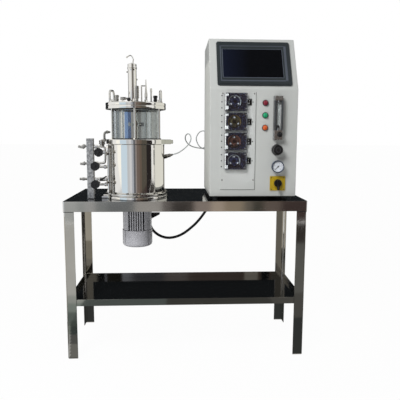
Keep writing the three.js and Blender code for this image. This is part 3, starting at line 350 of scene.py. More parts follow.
def card(name, code, low, high, glow=1.0):
    """A thin board between two corners in metres, which only reflections and looks through glass see."""
    paper, tree, place = start_finish("card_" + name)
    end_finish(tree, {"Base Color": srgb("000000"), "Roughness": 1.0, "Specular IOR Level": 0,
                      "Emission Color": srgb(code), "Emission Strength": glow})
    paper.cycles.emission_sampling = "NONE"
    board = bmesh.new()
    bmesh.ops.create_cube(board, size=1)
    size = [max(b - a, 0.004) for a, b in zip(low, high)]
    bmesh.ops.scale(board, vec=size, verts=board.verts)
    bmesh.ops.translate(board, vec=[(a + b) / 2 for a, b in zip(low, high)], verts=board.verts)
    made = standing("card_" + name, board, paper)
    for ray in ("camera", "diffuse", "volume_scatter", "shadow"):
        setattr(made, "visible_" + ray, False)
    print("card", name, "from", low, "to", high)
    return made


def row(left, strips, y, low, high):
    """Upright cards side by side. A strip is a name, a colour and where its right edge is."""
    made = []
    for name, code, right in strips:
        made.append(card(name, code, (left, y, low), (right, y, high)))
        left = right
    return made


front, waist, brow = -3.5, 0.28, 1.5
card("window", "FFFDF6", (-16.0, front, 0.0), (-6.1, front, brow), glow=1.2)
row(-6.0, (("sky_blue", "DAEDFD", -2.4), ("haze", "D0D3D8", -1.7)), front, 0.0, brow)
row(-1.7, (
    ("pearl_front", "E0E1E6", -1.08), ("mist_front", "B8BCC6", -0.62), ("slate", "6A6C72", -0.2),
    ("taupe", "9C9390", 0.1), ("brown", "776962", 0.78), ("hazel", "6E6056", 1.35),
    ("umber", "5A554D", 3.2),
), front, waist, brow)
row(3.2, (("black", "2C2828", 7.7),), front, 0.0, brow)
row(-1.7, (
    ("low_pale", "B4B7B7", -1.12), ("low_smoke", "9FA3A3", -1.04), ("low_grey", "B0B0B0", -0.93),
    ("low_slate", "878A8B", -0.8), ("low_steel", "777A7C", -0.5), ("low_warm", "A9A6A3", -0.2),
    ("low_clay", "6C6765", -0.1), ("low_dark", "413D3B", 0.15), ("low_tan", "918680", 0.34),
    ("low_sand", "B3A597", 0.48), ("low_olive", "978A79", 0.7), ("low_moss", "6F6961", 0.8),
    ("low_bark", "42413B", 0.92), ("low_earth", "6A5F59", 1.12), ("low_umber", "453A38", 3.2),
), front, 0.0, waist)
card("high_grey", "85827D", (-1.0, front, brow), (3.0, front, 3.2))
card("right_pale", "F4F1EC", (3.6, -1.2, 0.4), (3.6, 1.6, 3.0))
card("behind_low", "8C8984", (-5.0, 3.0, 0.0), (3.0, 3.0, 0.82))
card("behind_high", "25282A", (-5.0, 3.0, 0.82), (5.0, 3.0, 2.8))
card("ceiling", "1E2024", (-0.8, -4.6, 4.5), (1.8, 0.9, 4.5))

# %% [markdown]
# A flat face mirrors only one small patch of the room, so single faces get small cards of their own. One
# lights the side of the cabinet that the vessel sees, one stands right before the ear of the jacket's
# flange, and those before the bench colour the back legs. The mats lie on the floor, where the front
# legs and the rims look for their bands. The left front leg's band runs aslant, so its two mats are cut
# into steps.

# %% Small cards and floor mats
card("beside", "EFEEE6", (0.088, -0.2, 0.695), (0.092, 0.15, 1.25))
card("ear_pale", "BDBFB5", (-0.094, -0.1295, 0.893), (-0.05, -0.1255, 0.92))
for name, code, left, right, low, high in (
    ("leg_high", "AAA599", -0.62, -0.505, 0.332, 0.6),
    ("leg_middle", "837E72", -0.62, -0.505, 0.224, 0.332),
    ("leg_low", "76726A", -0.62, -0.505, 0.182, 0.224),
    ("leg_foot", "4D4A41", -0.62, -0.505, 0.05, 0.182),
    ("leg_corner", "35332D", -0.45, -0.36, 0.28, 0.6), ("right_corner", "C1BBB0", 0.36, 0.44, 0.28, 0.6),
    ("right_leg", "6E6A62", 0.52, 0.66, 0.05, 0.6),
):
    card(name, code, (left, -0.266, low), (right, -0.262, high))
for name, code, left, right, near, far in (
    ("under", "3A3C3B", -0.4, 2.0, 0.4, -0.66), ("under_left", "3A3C3B", -0.9, -0.4, 0.4, -0.25),
    ("mat_left", "BDBDBA", -2.5, -0.45, -1.05, -3.4), ("near_grey", "A2A6A2", -0.9, -0.57, -0.92, -1.05),
    ("near_green", "868F8A", -0.9, -0.57, -0.78, -0.92),
    ("near_teal", "646D69", -0.9, -0.57, -0.66, -0.78),
    ("near_middle", "565D5B", -0.57, -0.1, -0.66, -1.05),
    ("near_right", "42423F", -0.1, 0.5, -0.66, -1.05),
    ("near_leg", "53524F", 0.5, 2.0, -0.66, -1.05), ("mat_middle", "55524F", -0.45, 0.6, -1.05, -3.4),
    ("mat_leg", "62625F", 0.6, 1.2, -1.05, -2.4), ("mat_right", "3A3634", 1.2, 7.4, -1.05, -3.4),
    ("mat_far", "3A3634", 0.6, 1.2, -2.4, -3.4), ("mat_side", "2E2C2A", 2.0, 3.6, 1.5, -1.05),
    ("mat_blue", "DDE0E4", -6.2, -2.5, -1.05, -3.4),
):
    card(name, code, (left, far, 0.0), (right, near, 0.002))
tones = [("B3B3B0", "777773")] * 4 + [("A1A2A0", "5A5B59")] * 3
tones += [("858B85", "404745")] * 3 + [("6D746F", "4B534F")] * 2
step_deep, step_aside = 0.0342, 0.008
for step, (pale, deep) in enumerate(tones):
    edge, near = -0.494 - step_aside * step, -0.25 - step_deep * step
    card(f"foot_pale_{step}", pale, (-0.75, near - step_deep, 0.0), (edge, near, 0.002))
    card(f"foot_deep_{step}", deep, (edge, near - step_deep, 0.0), (-0.4, near, 0.002))

# %% [markdown]
# The glass shows the far side of the room through itself. Behind the vessel stand a few upright cards
# that only light which has passed through glass can see, so the tube has depth and the room stays white.

# %% Cards seen through the glass
for made in row(-1.6, (
    ("through_edge_left", "B0B1B6", -1.2), ("through_frost", "E0E1EA", -1.0),
    ("through_smoke", "6A7076", -0.8), ("through_dove", "A9A8A6", -0.74),
    ("through_pearl", "F6EEE6", -0.66), ("through_blue", "7F98C4", -0.59),
    ("through_navy", "465C84", -0.54), ("through_sand", "A09A95", -0.5),
    ("through_bark", "403D39", -0.43), ("through_ash", "807E7B", -0.385),
    ("through_cloud", "A9A9A7", -0.32), ("through_stone", "8B8B89", -0.29),
    ("through_mist", "BEBEBD", -0.14), ("through_shade", "94938F", 0.15),
    ("through_edge_right", "ABABA9", 0.8),
), 2.9, 0.7, 1.5):
    made.visible_glossy = False

# %% [markdown]
# Every shape starts as a small bmesh in millimetres. Sheet metal and mouldings are mostly blocks. A Bevel
# modifier could round their edges, but bevelled as a bmesh, each part may have its own width before the
# parts are joined.

# %% Blocks


def placed(part, x=0.0, y=0.0, z=0.0):
    """Moves a part."""
    bmesh.ops.translate(part, vec=(x, y, z), verts=part.verts)
    return part


def softened(part, width, steps=2, angle=30):
    """Rounds every edge that is sharper than the angle."""
    sharp = [edge for edge in part.edges
             if edge.is_manifold and edge.calc_face_angle(0) > math.radians(angle)]
    bmesh.ops.bevel(part, geom=sharp, offset=width, offset_type="OFFSET", segments=steps, profile=0.5,
                    affect="EDGES", clamp_overlap=True, material=-1)
    return part


def block(x0, x1, y0, y1, z0, z1, edge=0.0):
    """A block between two corners, with its edges rounded if asked."""
    part = bmesh.new()
    bmesh.ops.create_cube(part, size=1)
    bmesh.ops.scale(part, vec=(x1 - x0, y1 - y0, z1 - z0), verts=part.verts)
    placed(part, (x0 + x1) / 2, (y0 + y1) / 2, (z0 + z1) / 2)
    return softened(part, edge) if edge else part


print("helpers for blocks are ready")

# %% [markdown]
# A piece joins its parts, turns them to metres, rides on a CAD body, and stands for a CAD node if it
# shows the same thing. Edges that meet at less than 35 degrees are shaded smooth, and sharper ones stay
# crisp. The shading of a small rounded edge must not run out over the wide flat face beside it, or sheet
# metal would mirror as if it were bulged. More loops would prevent that, but a Weighted Normal modifier
# lets the wide faces decide.

# %% Pieces and copies


def from_node(node, edge):
    """A copy of a CAD node in millimetres, with its edges broken as on a folded or moulded one."""
    part = bmesh.new()
    part.from_mesh(frame["nodes"][node].data)
    bmesh.ops.scale(part, vec=(1 / MM,) * 3, verts=part.verts)
    bmesh.ops.remove_doubles(part, verts=part.verts, dist=0.01)
    bmesh.ops.dissolve_limit(part, angle_limit=math.radians(1), verts=part.verts, edges=part.edges)
    return softened(part, edge)


def piece(name, finish, parts, node=None, body="bench", slot=None):
    """Joins parts into one object in metres, which rides on a body and may stand for a CAD node."""
    mesh = bpy.data.meshes.new(name)
    whole = bmesh.new()
    for part in parts:
        part.to_mesh(mesh)
        part.free()
        whole.from_mesh(mesh)
    bmesh.ops.scale(whole, vec=(MM, MM, MM), verts=whole.verts)
    whole.to_mesh(mesh)
    whole.free()
    mesh.shade_smooth()
    mesh.set_sharp_from_angle(angle=math.radians(35))
    mesh.materials.append(finish)
    made = bpy.data.objects.new(name, mesh)
    scene.collection.objects.link(made)
    made.modifiers.new("even_shading", "WEIGHTED_NORMAL").keep_sharp = True
    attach(made, body)
    if node:
        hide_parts(node)
    slot = slot or slot_of[finish.name]
    print(name, len(mesh.polygons), "faces")
    return made


def copied(name, finish, node, edge, body="bench"):
    """A piece that is a CAD node with its edges broken."""
    return piece(name, finish, [from_node(node, edge)], node, body)


print("helpers for pieces are ready")

# %% [markdown]
# The bench is stainless sheet that was brushed with an abrasive belt. The belt leaves fine lines about
# half a millimetre apart along the sheet, so it mirrors softly. They are drawn 0.8 mm apart, as fine as
# they still show. A noise that is stretched along one axis gives such lines without repeating itself, as
# an image would. Two finishes are made: one with its grain lying down, for rims, and one with it
# standing, for legs.

# %% Brushed stainless steel


def brushed_steel(name, stretch):
    """Brushed steel whose lines run along the axis that is stretched least."""
    made, tree, place = start_finish(name, "brushed_steel")
    grain_at = add(tree, "ShaderNodeMapping", {"Vector": place, "Scale": stretch})
    grain = add(tree, "ShaderNodeTexNoise", {"Vector": grain_at.outputs["Vector"], "Scale": per(0.8),
                                             "Detail": 3})
    cloud = add(tree, "ShaderNodeTexNoise", {"Vector": place, "Scale": per(90), "Detail": 3})
    gloss = add(tree, "ShaderNodeMapRange", {"Value": grain.outputs["Fac"], "To Min": 0.035,
                                             "To Max": 0.1})
    tone = add(tree, "ShaderNodeMix", {"Factor": cloud.outputs["Fac"], COLOUR_A: srgb("CBC9C5"),
                                       COLOUR_B: srgb("DDDBD6")}, data_type="RGBA")
    lines = add(tree, "ShaderNodeBump", {"Height": grain.outputs["Fac"], "Strength": 0.12,
                                         "Distance": 0.0001})
    end_finish(tree, {"Base Color": tone.outputs[COLOUR_OUT], "Roughness": gloss.outputs["Result"],
                      "Normal": lines.outputs["Normal"], "Metallic": 1.0})
    print("made", name)
    return made


rim_steel = brushed_steel("brushed_stainless_rim", (0.02, 1, 1))
leg_steel = brushed_steel("brushed_stainless_leg", (1, 1, 0.02))

# %% [markdown]
# The plates of the bench top and of the shelf are black high-pressure laminate. Its clear resin face is
# glossy and nearly flat. A faint orange peel some centimetres wide bends its reflections, and fine wiping
# marks dull it in places.

# %% Black laminate
laminate, tree, place = start_finish("black_laminate", "black_laminate")
wiped = add(tree, "ShaderNodeTexNoise", {"Vector": place, "Scale": per(120), "Detail": 6})
gloss = add(tree, "ShaderNodeMapRange", {"Value": wiped.outputs["Fac"], "To Min": 0.04, "To Max": 0.13})
peel = add(tree, "ShaderNodeTexNoise", {"Vector": place, "Scale": per(25), "Detail": 1})
waves = add(tree, "ShaderNodeBump", {"Height": peel.outputs["Fac"], "Strength": 0.05, "Distance": 0.001})
end_finish(tree, {"Base Color": srgb("121314"), "Roughness": gloss.outputs["Result"],
                  "Normal": waves.outputs["Normal"], "IOR": 1.5})
print("made", laminate.name)

# %% [markdown]
# The bench is folded sheet: a rim with a ledge, four legs of L section, and a shelf tray. A brake press
# never makes a knife edge, so each fold and cut is rounded by a fraction of a millimetre. The CAD shapes
# are right as they are, so they are copied and their edges are bevelled. The round edges catch the thin
# light line that makes a sheet look like steel. The front legs tuck in under the rim, and a thin black
# strip on each, just under the rim, is painted shade of the small step there.

# %% Bench
copied("bench_rim_sheet", rim_steel, "bench_top_rim", 0.6)
copied("bench_top_laminate", laminate, "bench_top_plate", 0.5)
for corner in ("front_left", "front_right", "back_left", "back_right"):
    copied("bench_leg_" + corner, leg_steel, "leg_" + corner, 0.7)
# Over each front leg, a thin black strip just under the rim is painted shade.
beads = []
rim_foot = corners("bench_top_rim")[0].z
for corner in ("front_left", "front_right"):
    low, high = corners("leg_" + corner)
    beads.append(block(low.x + 0.5, high.x - 0.5, low.y - 0.9, low.y + 0.3, rim_foot - 2.6, rim_foot, 0.3))
piece("leg_painted_shade_strip", rubber, beads)
copied("shelf_rim_sheet", rim_steel, "shelf_rim", 0.5)
copied("shelf_laminate", laminate, "shelf_plate", 0.5)

# %% [markdown]
# The vessel, its lid and its pipes are stainless steel ground and polished until they mirror. Nothing is
# a perfect mirror: polishing leaves faint rings a few tenths of a millimetre apart, and hands leave soft
# smears some centimetres wide. Both are in the roughness and in a very shallow bump.

# %% Polished stainless steel
mirror_steel, tree, place = start_finish("polished_stainless", "polished_steel")
smear = add(tree, "ShaderNodeTexNoise", {"Vector": place, "Scale": per(45), "Detail": 5})
gloss = add(tree, "ShaderNodeMapRange", {"Value": smear.outputs["Fac"], "To Min": 0.03, "To Max": 0.1})
turning = add(tree, "ShaderNodeMapping", {"Vector": place, "Scale": (0.03, 0.03, 1)})
rings = add(tree, "ShaderNodeTexNoise", {"Vector": turning.outputs["Vector"], "Scale": per(0.9),
                                         "Detail": 2})
lines = add(tree, "ShaderNodeBump", {"Height": rings.outputs["Fac"], "Strength": 0.03,
                                     "Distance": 0.0001})
end_finish(tree, {"Base Color": srgb("E4E2DD"), "Roughness": gloss.outputs["Result"],
                  "Normal": lines.outputs["Normal"], "Metallic": 1.0})
print("made", mirror_steel.name)

# %% [markdown]
# Small turned fittings, nuts and screws are steel too, but they come straight from a lathe or a press.
# They are a little darker and duller, with tool marks about a millimetre and a half apart.

# %% Turned steel
turned_steel, tree, place = start_finish("turned_steel", "brushed_steel")
marks = add(tree, "ShaderNodeTexNoise", {"Vector": place, "Scale": per(1.5), "Detail": 3})
tone = add(tree, "ShaderNodeMix", {"Factor": marks.outputs["Fac"], COLOUR_A: srgb("9A9894"),
                                   COLOUR_B: srgb("C4C2BD")}, data_type="RGBA")
gloss = add(tree, "ShaderNodeMapRange", {"Value": marks.outputs["Fac"], "To Min": 0.18, "To Max": 0.34})
lines = add(tree, "ShaderNodeBump", {"Height": marks.outputs["Fac"], "Strength": 0.1,
                                     "Distance": 0.0001})
end_finish(tree, {"Base Color": tone.outputs[COLOUR_OUT], "Roughness": gloss.outputs["Result"],
                  "Normal": lines.outputs["Normal"], "Metallic": 1.0})
print("made", turned_steel.name)

# %% [markdown]
# The square post was pickled after welding. The acid leaves a dull, mottled grey with patches about a
# centimetre wide, which hardly mirrors anything.

# %% Pickled steel
pickled_steel, tree, place = start_finish("pickled_stainless", "brushed_steel")
patch = add(tree, "ShaderNodeTexNoise", {"Vector": place, "Scale": per(9), "Detail": 4})
tone = add(tree, "ShaderNodeValToRGB", {"Fac": patch.outputs["Fac"]})
tone.color_ramp.elements[0].position = 0.35
tone.color_ramp.elements[0].color = srgb("A2A3A4")
tone.color_ramp.elements[1].position = 0.65
tone.color_ramp.elements[1].color = srgb("E4E5E5")
gloss = add(tree, "ShaderNodeMapRange", {"Value": patch.outputs["Fac"], "To Min": 0.3, "To Max": 0.5})
etched = add(tree, "ShaderNodeTexNoise", {"Vector": place, "Scale": per(2), "Detail": 3})
lines = add(tree, "ShaderNodeBump", {"Height": etched.outputs["Fac"], "Strength": 0.3,
                                     "Distance": 0.0003})
end_finish(tree, {"Base Color": tone.outputs["Color"], "Roughness": gloss.outputs["Result"],
                  "Normal": lines.outputs["Normal"], "Metallic": 1.0})
print("made", pickled_steel.name)

# %% [markdown]
# The glass is borosilicate tube, 6 mm thick. Clear glass hides little, but it mirrors at its edges and is
# slightly grey where one looks through much of it. A shell without thickness would be quicker to draw,
# but only a real wall bends light at both of its faces. A very slight waviness is left from drawing the
# tube.

# %% Borosilicate glass
glass, tree, place = start_finish("borosilicate_glass", "clear_glass")
drawn = add(tree, "ShaderNodeMapping", {"Vector": place, "Scale": (1, 1, 0.15)})
wave = add(tree, "ShaderNodeTexNoise", {"Vector": drawn.outputs["Vector"], "Scale": per(30), "Detail": 1})
tone = add(tree, "ShaderNodeMix", {"Factor": wave.outputs["Fac"], COLOUR_A: srgb("DDE2E2"),
                                   COLOUR_B: srgb("EEF1F1")}, data_type="RGBA")
bend = add(tree, "ShaderNodeBump", {"Height": wave.outputs["Fac"], "Strength": 0.04, "Distance": 0.001})
end_finish(tree, {"Base Color": tone.outputs[COLOUR_OUT], "Normal": bend.outputs["Normal"],
                  "Transmission Weight": 1.0, "IOR": 1.47, "Roughness": 0.0})
print("made", glass.name)

# %% [markdown]
# Knobs, handwheels and covers of connectors are glass-filled nylon, moulded black in a tool with a
# spark-eroded grain of about a millimetre. Handling polishes it in places.

# %% Moulded black nylon
moulded, tree, place = start_finish("moulded_black_nylon", "black_plastic")
spark = add(tree, "ShaderNodeTexNoise", {"Vector": place, "Scale": per(1.2), "Detail": 3})
wear = add(tree, "ShaderNodeTexNoise", {"Vector": place, "Scale": per(14), "Detail": 4})
tone = add(tree, "ShaderNodeMix", {"Factor": wear.outputs["Fac"], COLOUR_A: srgb("0B0B0D"),
                                   COLOUR_B: srgb("18181B")}, data_type="RGBA")
gloss = add(tree, "ShaderNodeMapRange", {"Value": wear.outputs["Fac"], "To Min": 0.28, "To Max": 0.46})
bumps = add(tree, "ShaderNodeBump", {"Height": spark.outputs["Fac"], "Strength": 0.2,
                                     "Distance": 0.0002})
end_finish(tree, {"Base Color": tone.outputs[COLOUR_OUT], "Roughness": gloss.outputs["Result"],
                  "Normal": bumps.outputs["Normal"], "IOR": 1.53})
print("made", moulded.name)

# %% [markdown]
# Between glass and steel lies a ring of silicone rubber. It is dark grey, soft and slightly dusty, so the
# function for rubbers makes it.

# %% Silicone
silicone = moulding("silicone_gasket", "black_plastic", "3A3B3C", "4A4B4C", 0.45, 0.6, 4,
                    more={"IOR": 1.43})

# %% [markdown]
# Most of the vessel was made on a lathe, so a profile that is spun round an axis is the natural way to
# draw it. Profiles are (radius, height above the bench top), in millimetres, going once round the cut
# face of a wall. Bars and nuts are drawn between two points, so a pipe can lie in any direction.

# %% Turned shapes and bars


def turned(profile, sides=64, closed=False):
    """Spins a line of (radius, height) points round Z, as a lathe does."""
    part = bmesh.new()
    points = [part.verts.new((radius, 0, height)) for radius, height in profile]
    pairs = list(zip(points, points[1:])) + ([(points[-1], points[0])] if closed else [])
    lines = [part.edges.new(pair) for pair in pairs]
    bmesh.ops.spin(part, geom=points + lines, cent=(0, 0, 0), axis=(0, 0, 1), angle=math.tau,
                   steps=sides, use_merge=True)
    bmesh.ops.remove_doubles(part, verts=part.verts, dist=0.0005)
    bmesh.ops.recalc_face_normals(part, faces=part.faces)
    return part


def laid(part, start, way):
    """Lays a part that was made from the origin up Z along a way from a start."""
    turn = Vector(way).to_track_quat("Z", "Y").to_matrix().to_4x4()
    bmesh.ops.transform(part, matrix=Matrix.Translation(start) @ turn, verts=part.verts)
    return part


def rod(start, end, radius, sides=28):
    """A round bar between two points."""
    start, end = Vector(start), Vector(end)
    part = bmesh.new()
    bmesh.ops.create_cone(part, cap_ends=True, segments=sides, radius1=radius, radius2=radius,
                          depth=(end - start).length)
    return laid(part, (start + end) / 2, end - start)


def hexagon(start, end, across, edge):
    """A six-sided bar between two points with its edges rounded, as for a nut."""
    return softened(rod(start, end, across, 6), edge)


def on_vessel(parts, x=0.0, y=0.0):
    """Moves parts that were made round the vessel's axis, or beside it, to their place on the bench."""
    return [placed(part, vessel_at.x + x, vessel_at.y + y, bench_top) for part in parts]


def round_about(make, count, radius, first=0.0):
    """Copies of some parts in a circle. The first angle is counted from the front, in degrees."""
    made = []
    for number in range(count):
        angle = math.radians(first + number * 360 / count)
        made += [placed(part, radius * math.sin(angle), -radius * math.cos(angle)) for part in make()]
    return made


print("helpers for turned shapes and bars are ready")

# %% [markdown]
# The base flange is bolted to the bench and carries the jacket, a double wall with warm water in it. A
# stack of cylinders would show no chamfers, so each is one profile. A small chamfer at each corner keeps
# the edges bright. The lug and the ear are blocks with rounded edges.

# %% Base flange and jacket


def cap_screw(z, head=5.0, tall=5.0):
    """A hexagon head screw with a washer, standing on a face at height z."""
    washer = softened(rod((0, 0, z), (0, 0, z + 1), head + 1.6, sides=24), 0.25)
    nut = hexagon((0, 0, z + 1), (0, 0, z + tall), head, 0.4)
    return [washer, nut]


base_top, flange_foot, flange_top = 24.3, 229.3, 249.3
base_profile = [
    (13, 0.3), (134, 0.3), (135, 1.3), (135, 3), (135, 10), (134.4, 11.4), (131, 11.9), (131, 12.7),
    (134.4, 13.2), (135, 14.6), (135, 21), (135, 23.3), (134, base_top), (13, base_top),
]
lug = block(-143, -115, -62, -38, 0.3, 11.3, 1.2)
lug_bar = rod((-137, -50, 12.3), (-98, -50, 12.3), 5)
piece("base_flange_turned", mirror_steel,
      on_vessel([turned(base_profile, 128, closed=True), lug, lug_bar]), "vessel_base_flange")
screws = round_about(lambda: cap_screw(base_top), 12, 126, 15)
piece("base_flange_screws", turned_steel, on_vessel(screws), slot="polished_steel")

jacket_profile = [
    (9.8, 24.6), (118.6, 24.6), (119.6, 25.0), (120, 26.0), (120, 30), (120, 222), (120, 227.4),
    (122, flange_foot), (125.6, flange_foot), (126.6, 229.7), (127, 230.7), (127, 234), (127, 245),
    (127, 247.9), (126.6, 248.9), (125.6, flange_top), (101, flange_top), (101, 36.6), (9.8, 36.6),
]
ear = block(112, 149, -22, 22, flange_foot, flange_top, 1.5)
ear_tip = block(147, 158, -16, 16, flange_foot + 2, flange_top - 2, 2)
piece("jacketed_wall", mirror_steel, on_vessel([turned(jacket_profile, 160, closed=True), ear, ear_tip]),
      "jacketed_vessel")

# %% [markdown]
# Six tie rods stand in the top flange and clamp the glass under the lid. Each has a hexagon nut below,
# one on the lid, and a dome nut on its end. A dome could be half a sphere, but as a turned line it gets
# the flat spot and the straight foot of a real one.

# %% Tie rods with their nuts


def tie_rod():
    """One rod with a lower nut, an upper nut with its washer, and a dome on top."""
    dome = [(0, 406.8), (6.2, 407), (6.2, 409.2), (5.6, 411.2), (4.2, 412.6), (2.2, 413.2), (0, 413.3)]
    return [
        turned([(0, 229.5), (4, 229.5), (4, 403)], 20),
        hexagon((0, 0, 249.5), (0, 0, 255.5), 7.2, 0.5),
        softened(rod((0, 0, 401.4), (0, 0, 402.6), 8.6, sides=24), 0.3),
        hexagon((0, 0, 402.6), (0, 0, 407.6), 7.2, 0.5),
        turned(dome, 20),
    ]


piece("tie_rods", mirror_steel, on_vessel(round_about(tie_rod, 6, 111, 2)), "jacketed_vessel")

# %% [markdown]
# The glass sits between two gaskets. The lid is two plates screwed together, so a dark groove runs round
# its edge. Two discs could be stacked, but in one turned line the groove is only a step inwards.

# %% Glass, gaskets and lid
tube = [
    (97, 249.7), (102.6, 249.6), (103, 250), (103, 256), (103, 368), (103, 374.2), (102.6, 374.6),
    (97, 374.5), (97, 368), (97, 256),
]
piece("glass_tube", glass, on_vessel([turned(tube, 128, closed=True)]), "glass_cylinder")
lower_seal = [(103.3, 249.4), (107, 249.4), (107.5, 250.4), (106.6, 253.4), (103.3, 253.8)]
upper_seal = [(103.3, 370.2), (106.6, 370.6), (107.5, 373), (107, 374.8), (103.3, 374.8)]
piece("glass_gaskets", silicone, on_vessel([turned(lower_seal, 96, closed=True),
                                            turned(upper_seal, 96, closed=True)]))
lid_profile = [
    (0, 374.9), (125.8, 374.9), (126.7, 375.2), (127, 376.2), (127, 378), (127, 385), (126.6, 386.8),
    (124, 387.5), (124, 388.5), (126.6, 389.2), (127, 391), (127, 397), (127, 399.4), (126.4, 400.7),
    (125, 401.3), (0, 401.3),
]
piece("lid_plates", mirror_steel, on_vessel([turned(lid_profile, 128)]), "lid")

# %% [markdown]
# Two bows of round bar are the lid's handles. A curve with a round section could make them, but as a disc
# that is pulled along a smooth way through a few points, a bow is a bmesh part like the others and joins
# them in one piece. Each foot has a collar with a rounded edge.

# %% Lid handles
lid_top = 401.6


def bent(points, radius, sides=16):
    """A bent round bar: a disc is pulled from point to point and turned to face along the way."""
    points = [Vector(point) for point in points]
    ways = [(after - before).normalized()
            for before, after in zip([points[0], *points], [*points[1:], points[-1]])]
    part = bmesh.new()
    bmesh.ops.create_circle(part, cap_ends=True, segments=sides, radius=radius)
    laid(part, points[0], ways[0])
    face = part.faces[:][0]
    for before, after, old, new in zip(points, points[1:], ways, ways[1:]):
        geom = bmesh.ops.extrude_face_region(part, geom=[face])["geom"]
        face = next(item for item in geom if isinstance(item, bmesh.types.BMFace))
        step = Matrix.Translation(after) @ old.rotation_difference(new).to_matrix().to_4x4()
        bmesh.ops.transform(part, matrix=step @ Matrix.Translation(-before), verts=face.verts)
    bmesh.ops.recalc_face_normals(part, faces=part.faces)
    return part


def handle(x, lean_out):
    """A bow over Y with its feet on the lid, leaning by a few millimetres."""
    top, low = lid_top + 51.2, lid_top + 3
    way = [
        (-lean_out, -28, low), (-lean_out, -28, lid_top + 25), (-lean_out, -26, top - 9),
        (-lean_out * 0.6, -17, top), (0, 0, top), (lean_out * 0.6, 17, top),
        (lean_out, 26, top - 9), (lean_out, 28, lid_top + 25), (lean_out, 28, low),
    ]
    foot = [(0, 0), (7.5, 0), (7.5, 3.5), (6, 5), (4.5, 7), (0, 7)]
    parts = [bent(through(way, 6), 4.5), placed(turned(foot, 24), -lean_out, -28, lid_top),
             placed(turned(foot, 24), lean_out, 28, lid_top)]
    return on_vessel(parts, x)


piece("handle_left", mirror_steel, handle(-101, 5), "lid_handle_left")
piece("handle_right", mirror_steel, handle(105, -3), "lid_handle_right")

# %% [markdown]
# The exhaust condenser cools the gas that leaves the vessel. It is a plain tube with a collar at each
# end, two hose barbs, and a screwed cap with a bent outlet pipe. A hose barb is a short turned cone with
# ridges that hold the hose.

# %% Condenser with its cap


def barb(start, way, length, radius):
    """A hose barb: three ridges on a pipe, made along Z and turned to its way."""
    step = length / 4
    profile = [(0, 0), (radius * 0.72, 0), (radius * 0.72, step)]
    for ridge in range(1, 4):
        profile += [(radius, step * ridge), (radius * 0.74, step * (ridge + 0.9))]
    profile += [(0, step * 3.9)]
    return laid(turned(profile, 20), start, way)


condenser_at = (-14.5, 13)
condenser_profile = [
    (0, lid_top), (22, lid_top), (23, 402.6), (23, 408.4), (22, 409.4), (19.2, 409.9), (18, 411.2),
    (18, 416), (18, 417.5), (18.6, 418.3), (18.6, 421), (18, 421.8), (18, 423), (18, 428), (18, 536),
    (18, 542), (18.8, 543.4), (20, 544.6), (20, 548.4), (19.2, 549), (0, 549),
]
parts = [
    turned(condenser_profile, 48),
    rod((0, 0, 533.5), (-20.5, 0, 533.5), 3.5), barb((-20, 0, 533.5), (-1, 0, 0), 4.6, 3.5),
    rod((0, 0, 502.5), (19.5, 0, 502.5), 4), barb((19, 0, 502.5), (1, 0, 0), 3, 4),
]
piece("condenser_tube", mirror_steel, on_vessel(parts, *condenser_at), "condenser")

cap_profile = [
    (0, 549.3), (19.2, 549.3), (20, 550.1), (20, 552.5), (19.2, 553.8), (18.5, 555.3), (18.5, 564.6),
    (17.4, 566.2), (15.5, 567), (6, 567), (5.4, 570), (3.6, 571), (0, 571),
]
hook = bent(through([(3, 0, 566), (3.6, 0, 575), (5, 0, 586), (0, 0, 597), (-8, 0, 601.5),
                     (-16, 0, 598.5), (-21, 0, 594.6)], 5), 2.6, 12)
tip = barb((-18, 0, 597), (-6, 0, -4.6), 8, 4)
parts = [turned(cap_profile, 48), hook, tip]
piece("condenser_cap_screwed", mirror_steel, on_vessel(parts, *condenser_at), "condenser_cap")

# %% [markdown]
# Around the condenser stand the small ports: a needle valve on a dip tube, a thermometer pocket, an air
# inlet that goes down to a ring with fine holes, a sample port and two plugs for spare openings. Each is
# a gland nut with something turned on top.

# %% Ports on the lid


def gland(across, tall=8.0):
    """A hexagon gland nut on the lid with a thin washer under it."""
    return [softened(rod((0, 0, lid_top), (0, 0, lid_top + 1.2), across + 1.6), 0.3),
            hexagon((0, 0, lid_top + 1.2), (0, 0, lid_top + tall), across, 0.6)]


needle = [
    (0, 414), (6, 414), (6, 418), (5.2, 419), (5.2, 424), (6, 425), (6, 442), (5, 444), (5, 448),
    (4.4, 449), (3.9, 462), (2.6, 482), (1.7, 499.8), (1.2, 501), (0, 501),
]
plain_rod = [(0, lid_top), (6, lid_top), (6, 406.4), (5, 407.6), (3, 408.6), (3, 476.4), (2.4, 477),
             (0, 477)]
parts = [turned([(0, 80), (3, 80), (3, 416), (0, 416)], 20), turned(needle, 28), *gland(8, 14),
         placed(turned(plain_rod, 20), -18.8), rod((-18.8, 0, 474), (0, 0, 474), 2.5, sides=14)]
piece("needle_valve", mirror_steel, on_vessel(parts, 44.2, -7), "feed_valve")

pocket = [(0, 150), (2.6, 150.4), (3.5, 153), (3.5, 448), (4.5, 448.6), (4.5, 462.8), (3.8, 464), (0, 464)]
parts = [turned(pocket, 24), *gland(7)]
piece("thermometer_pocket", mirror_steel, on_vessel(parts, 65.7, -7), "temperature_probe")

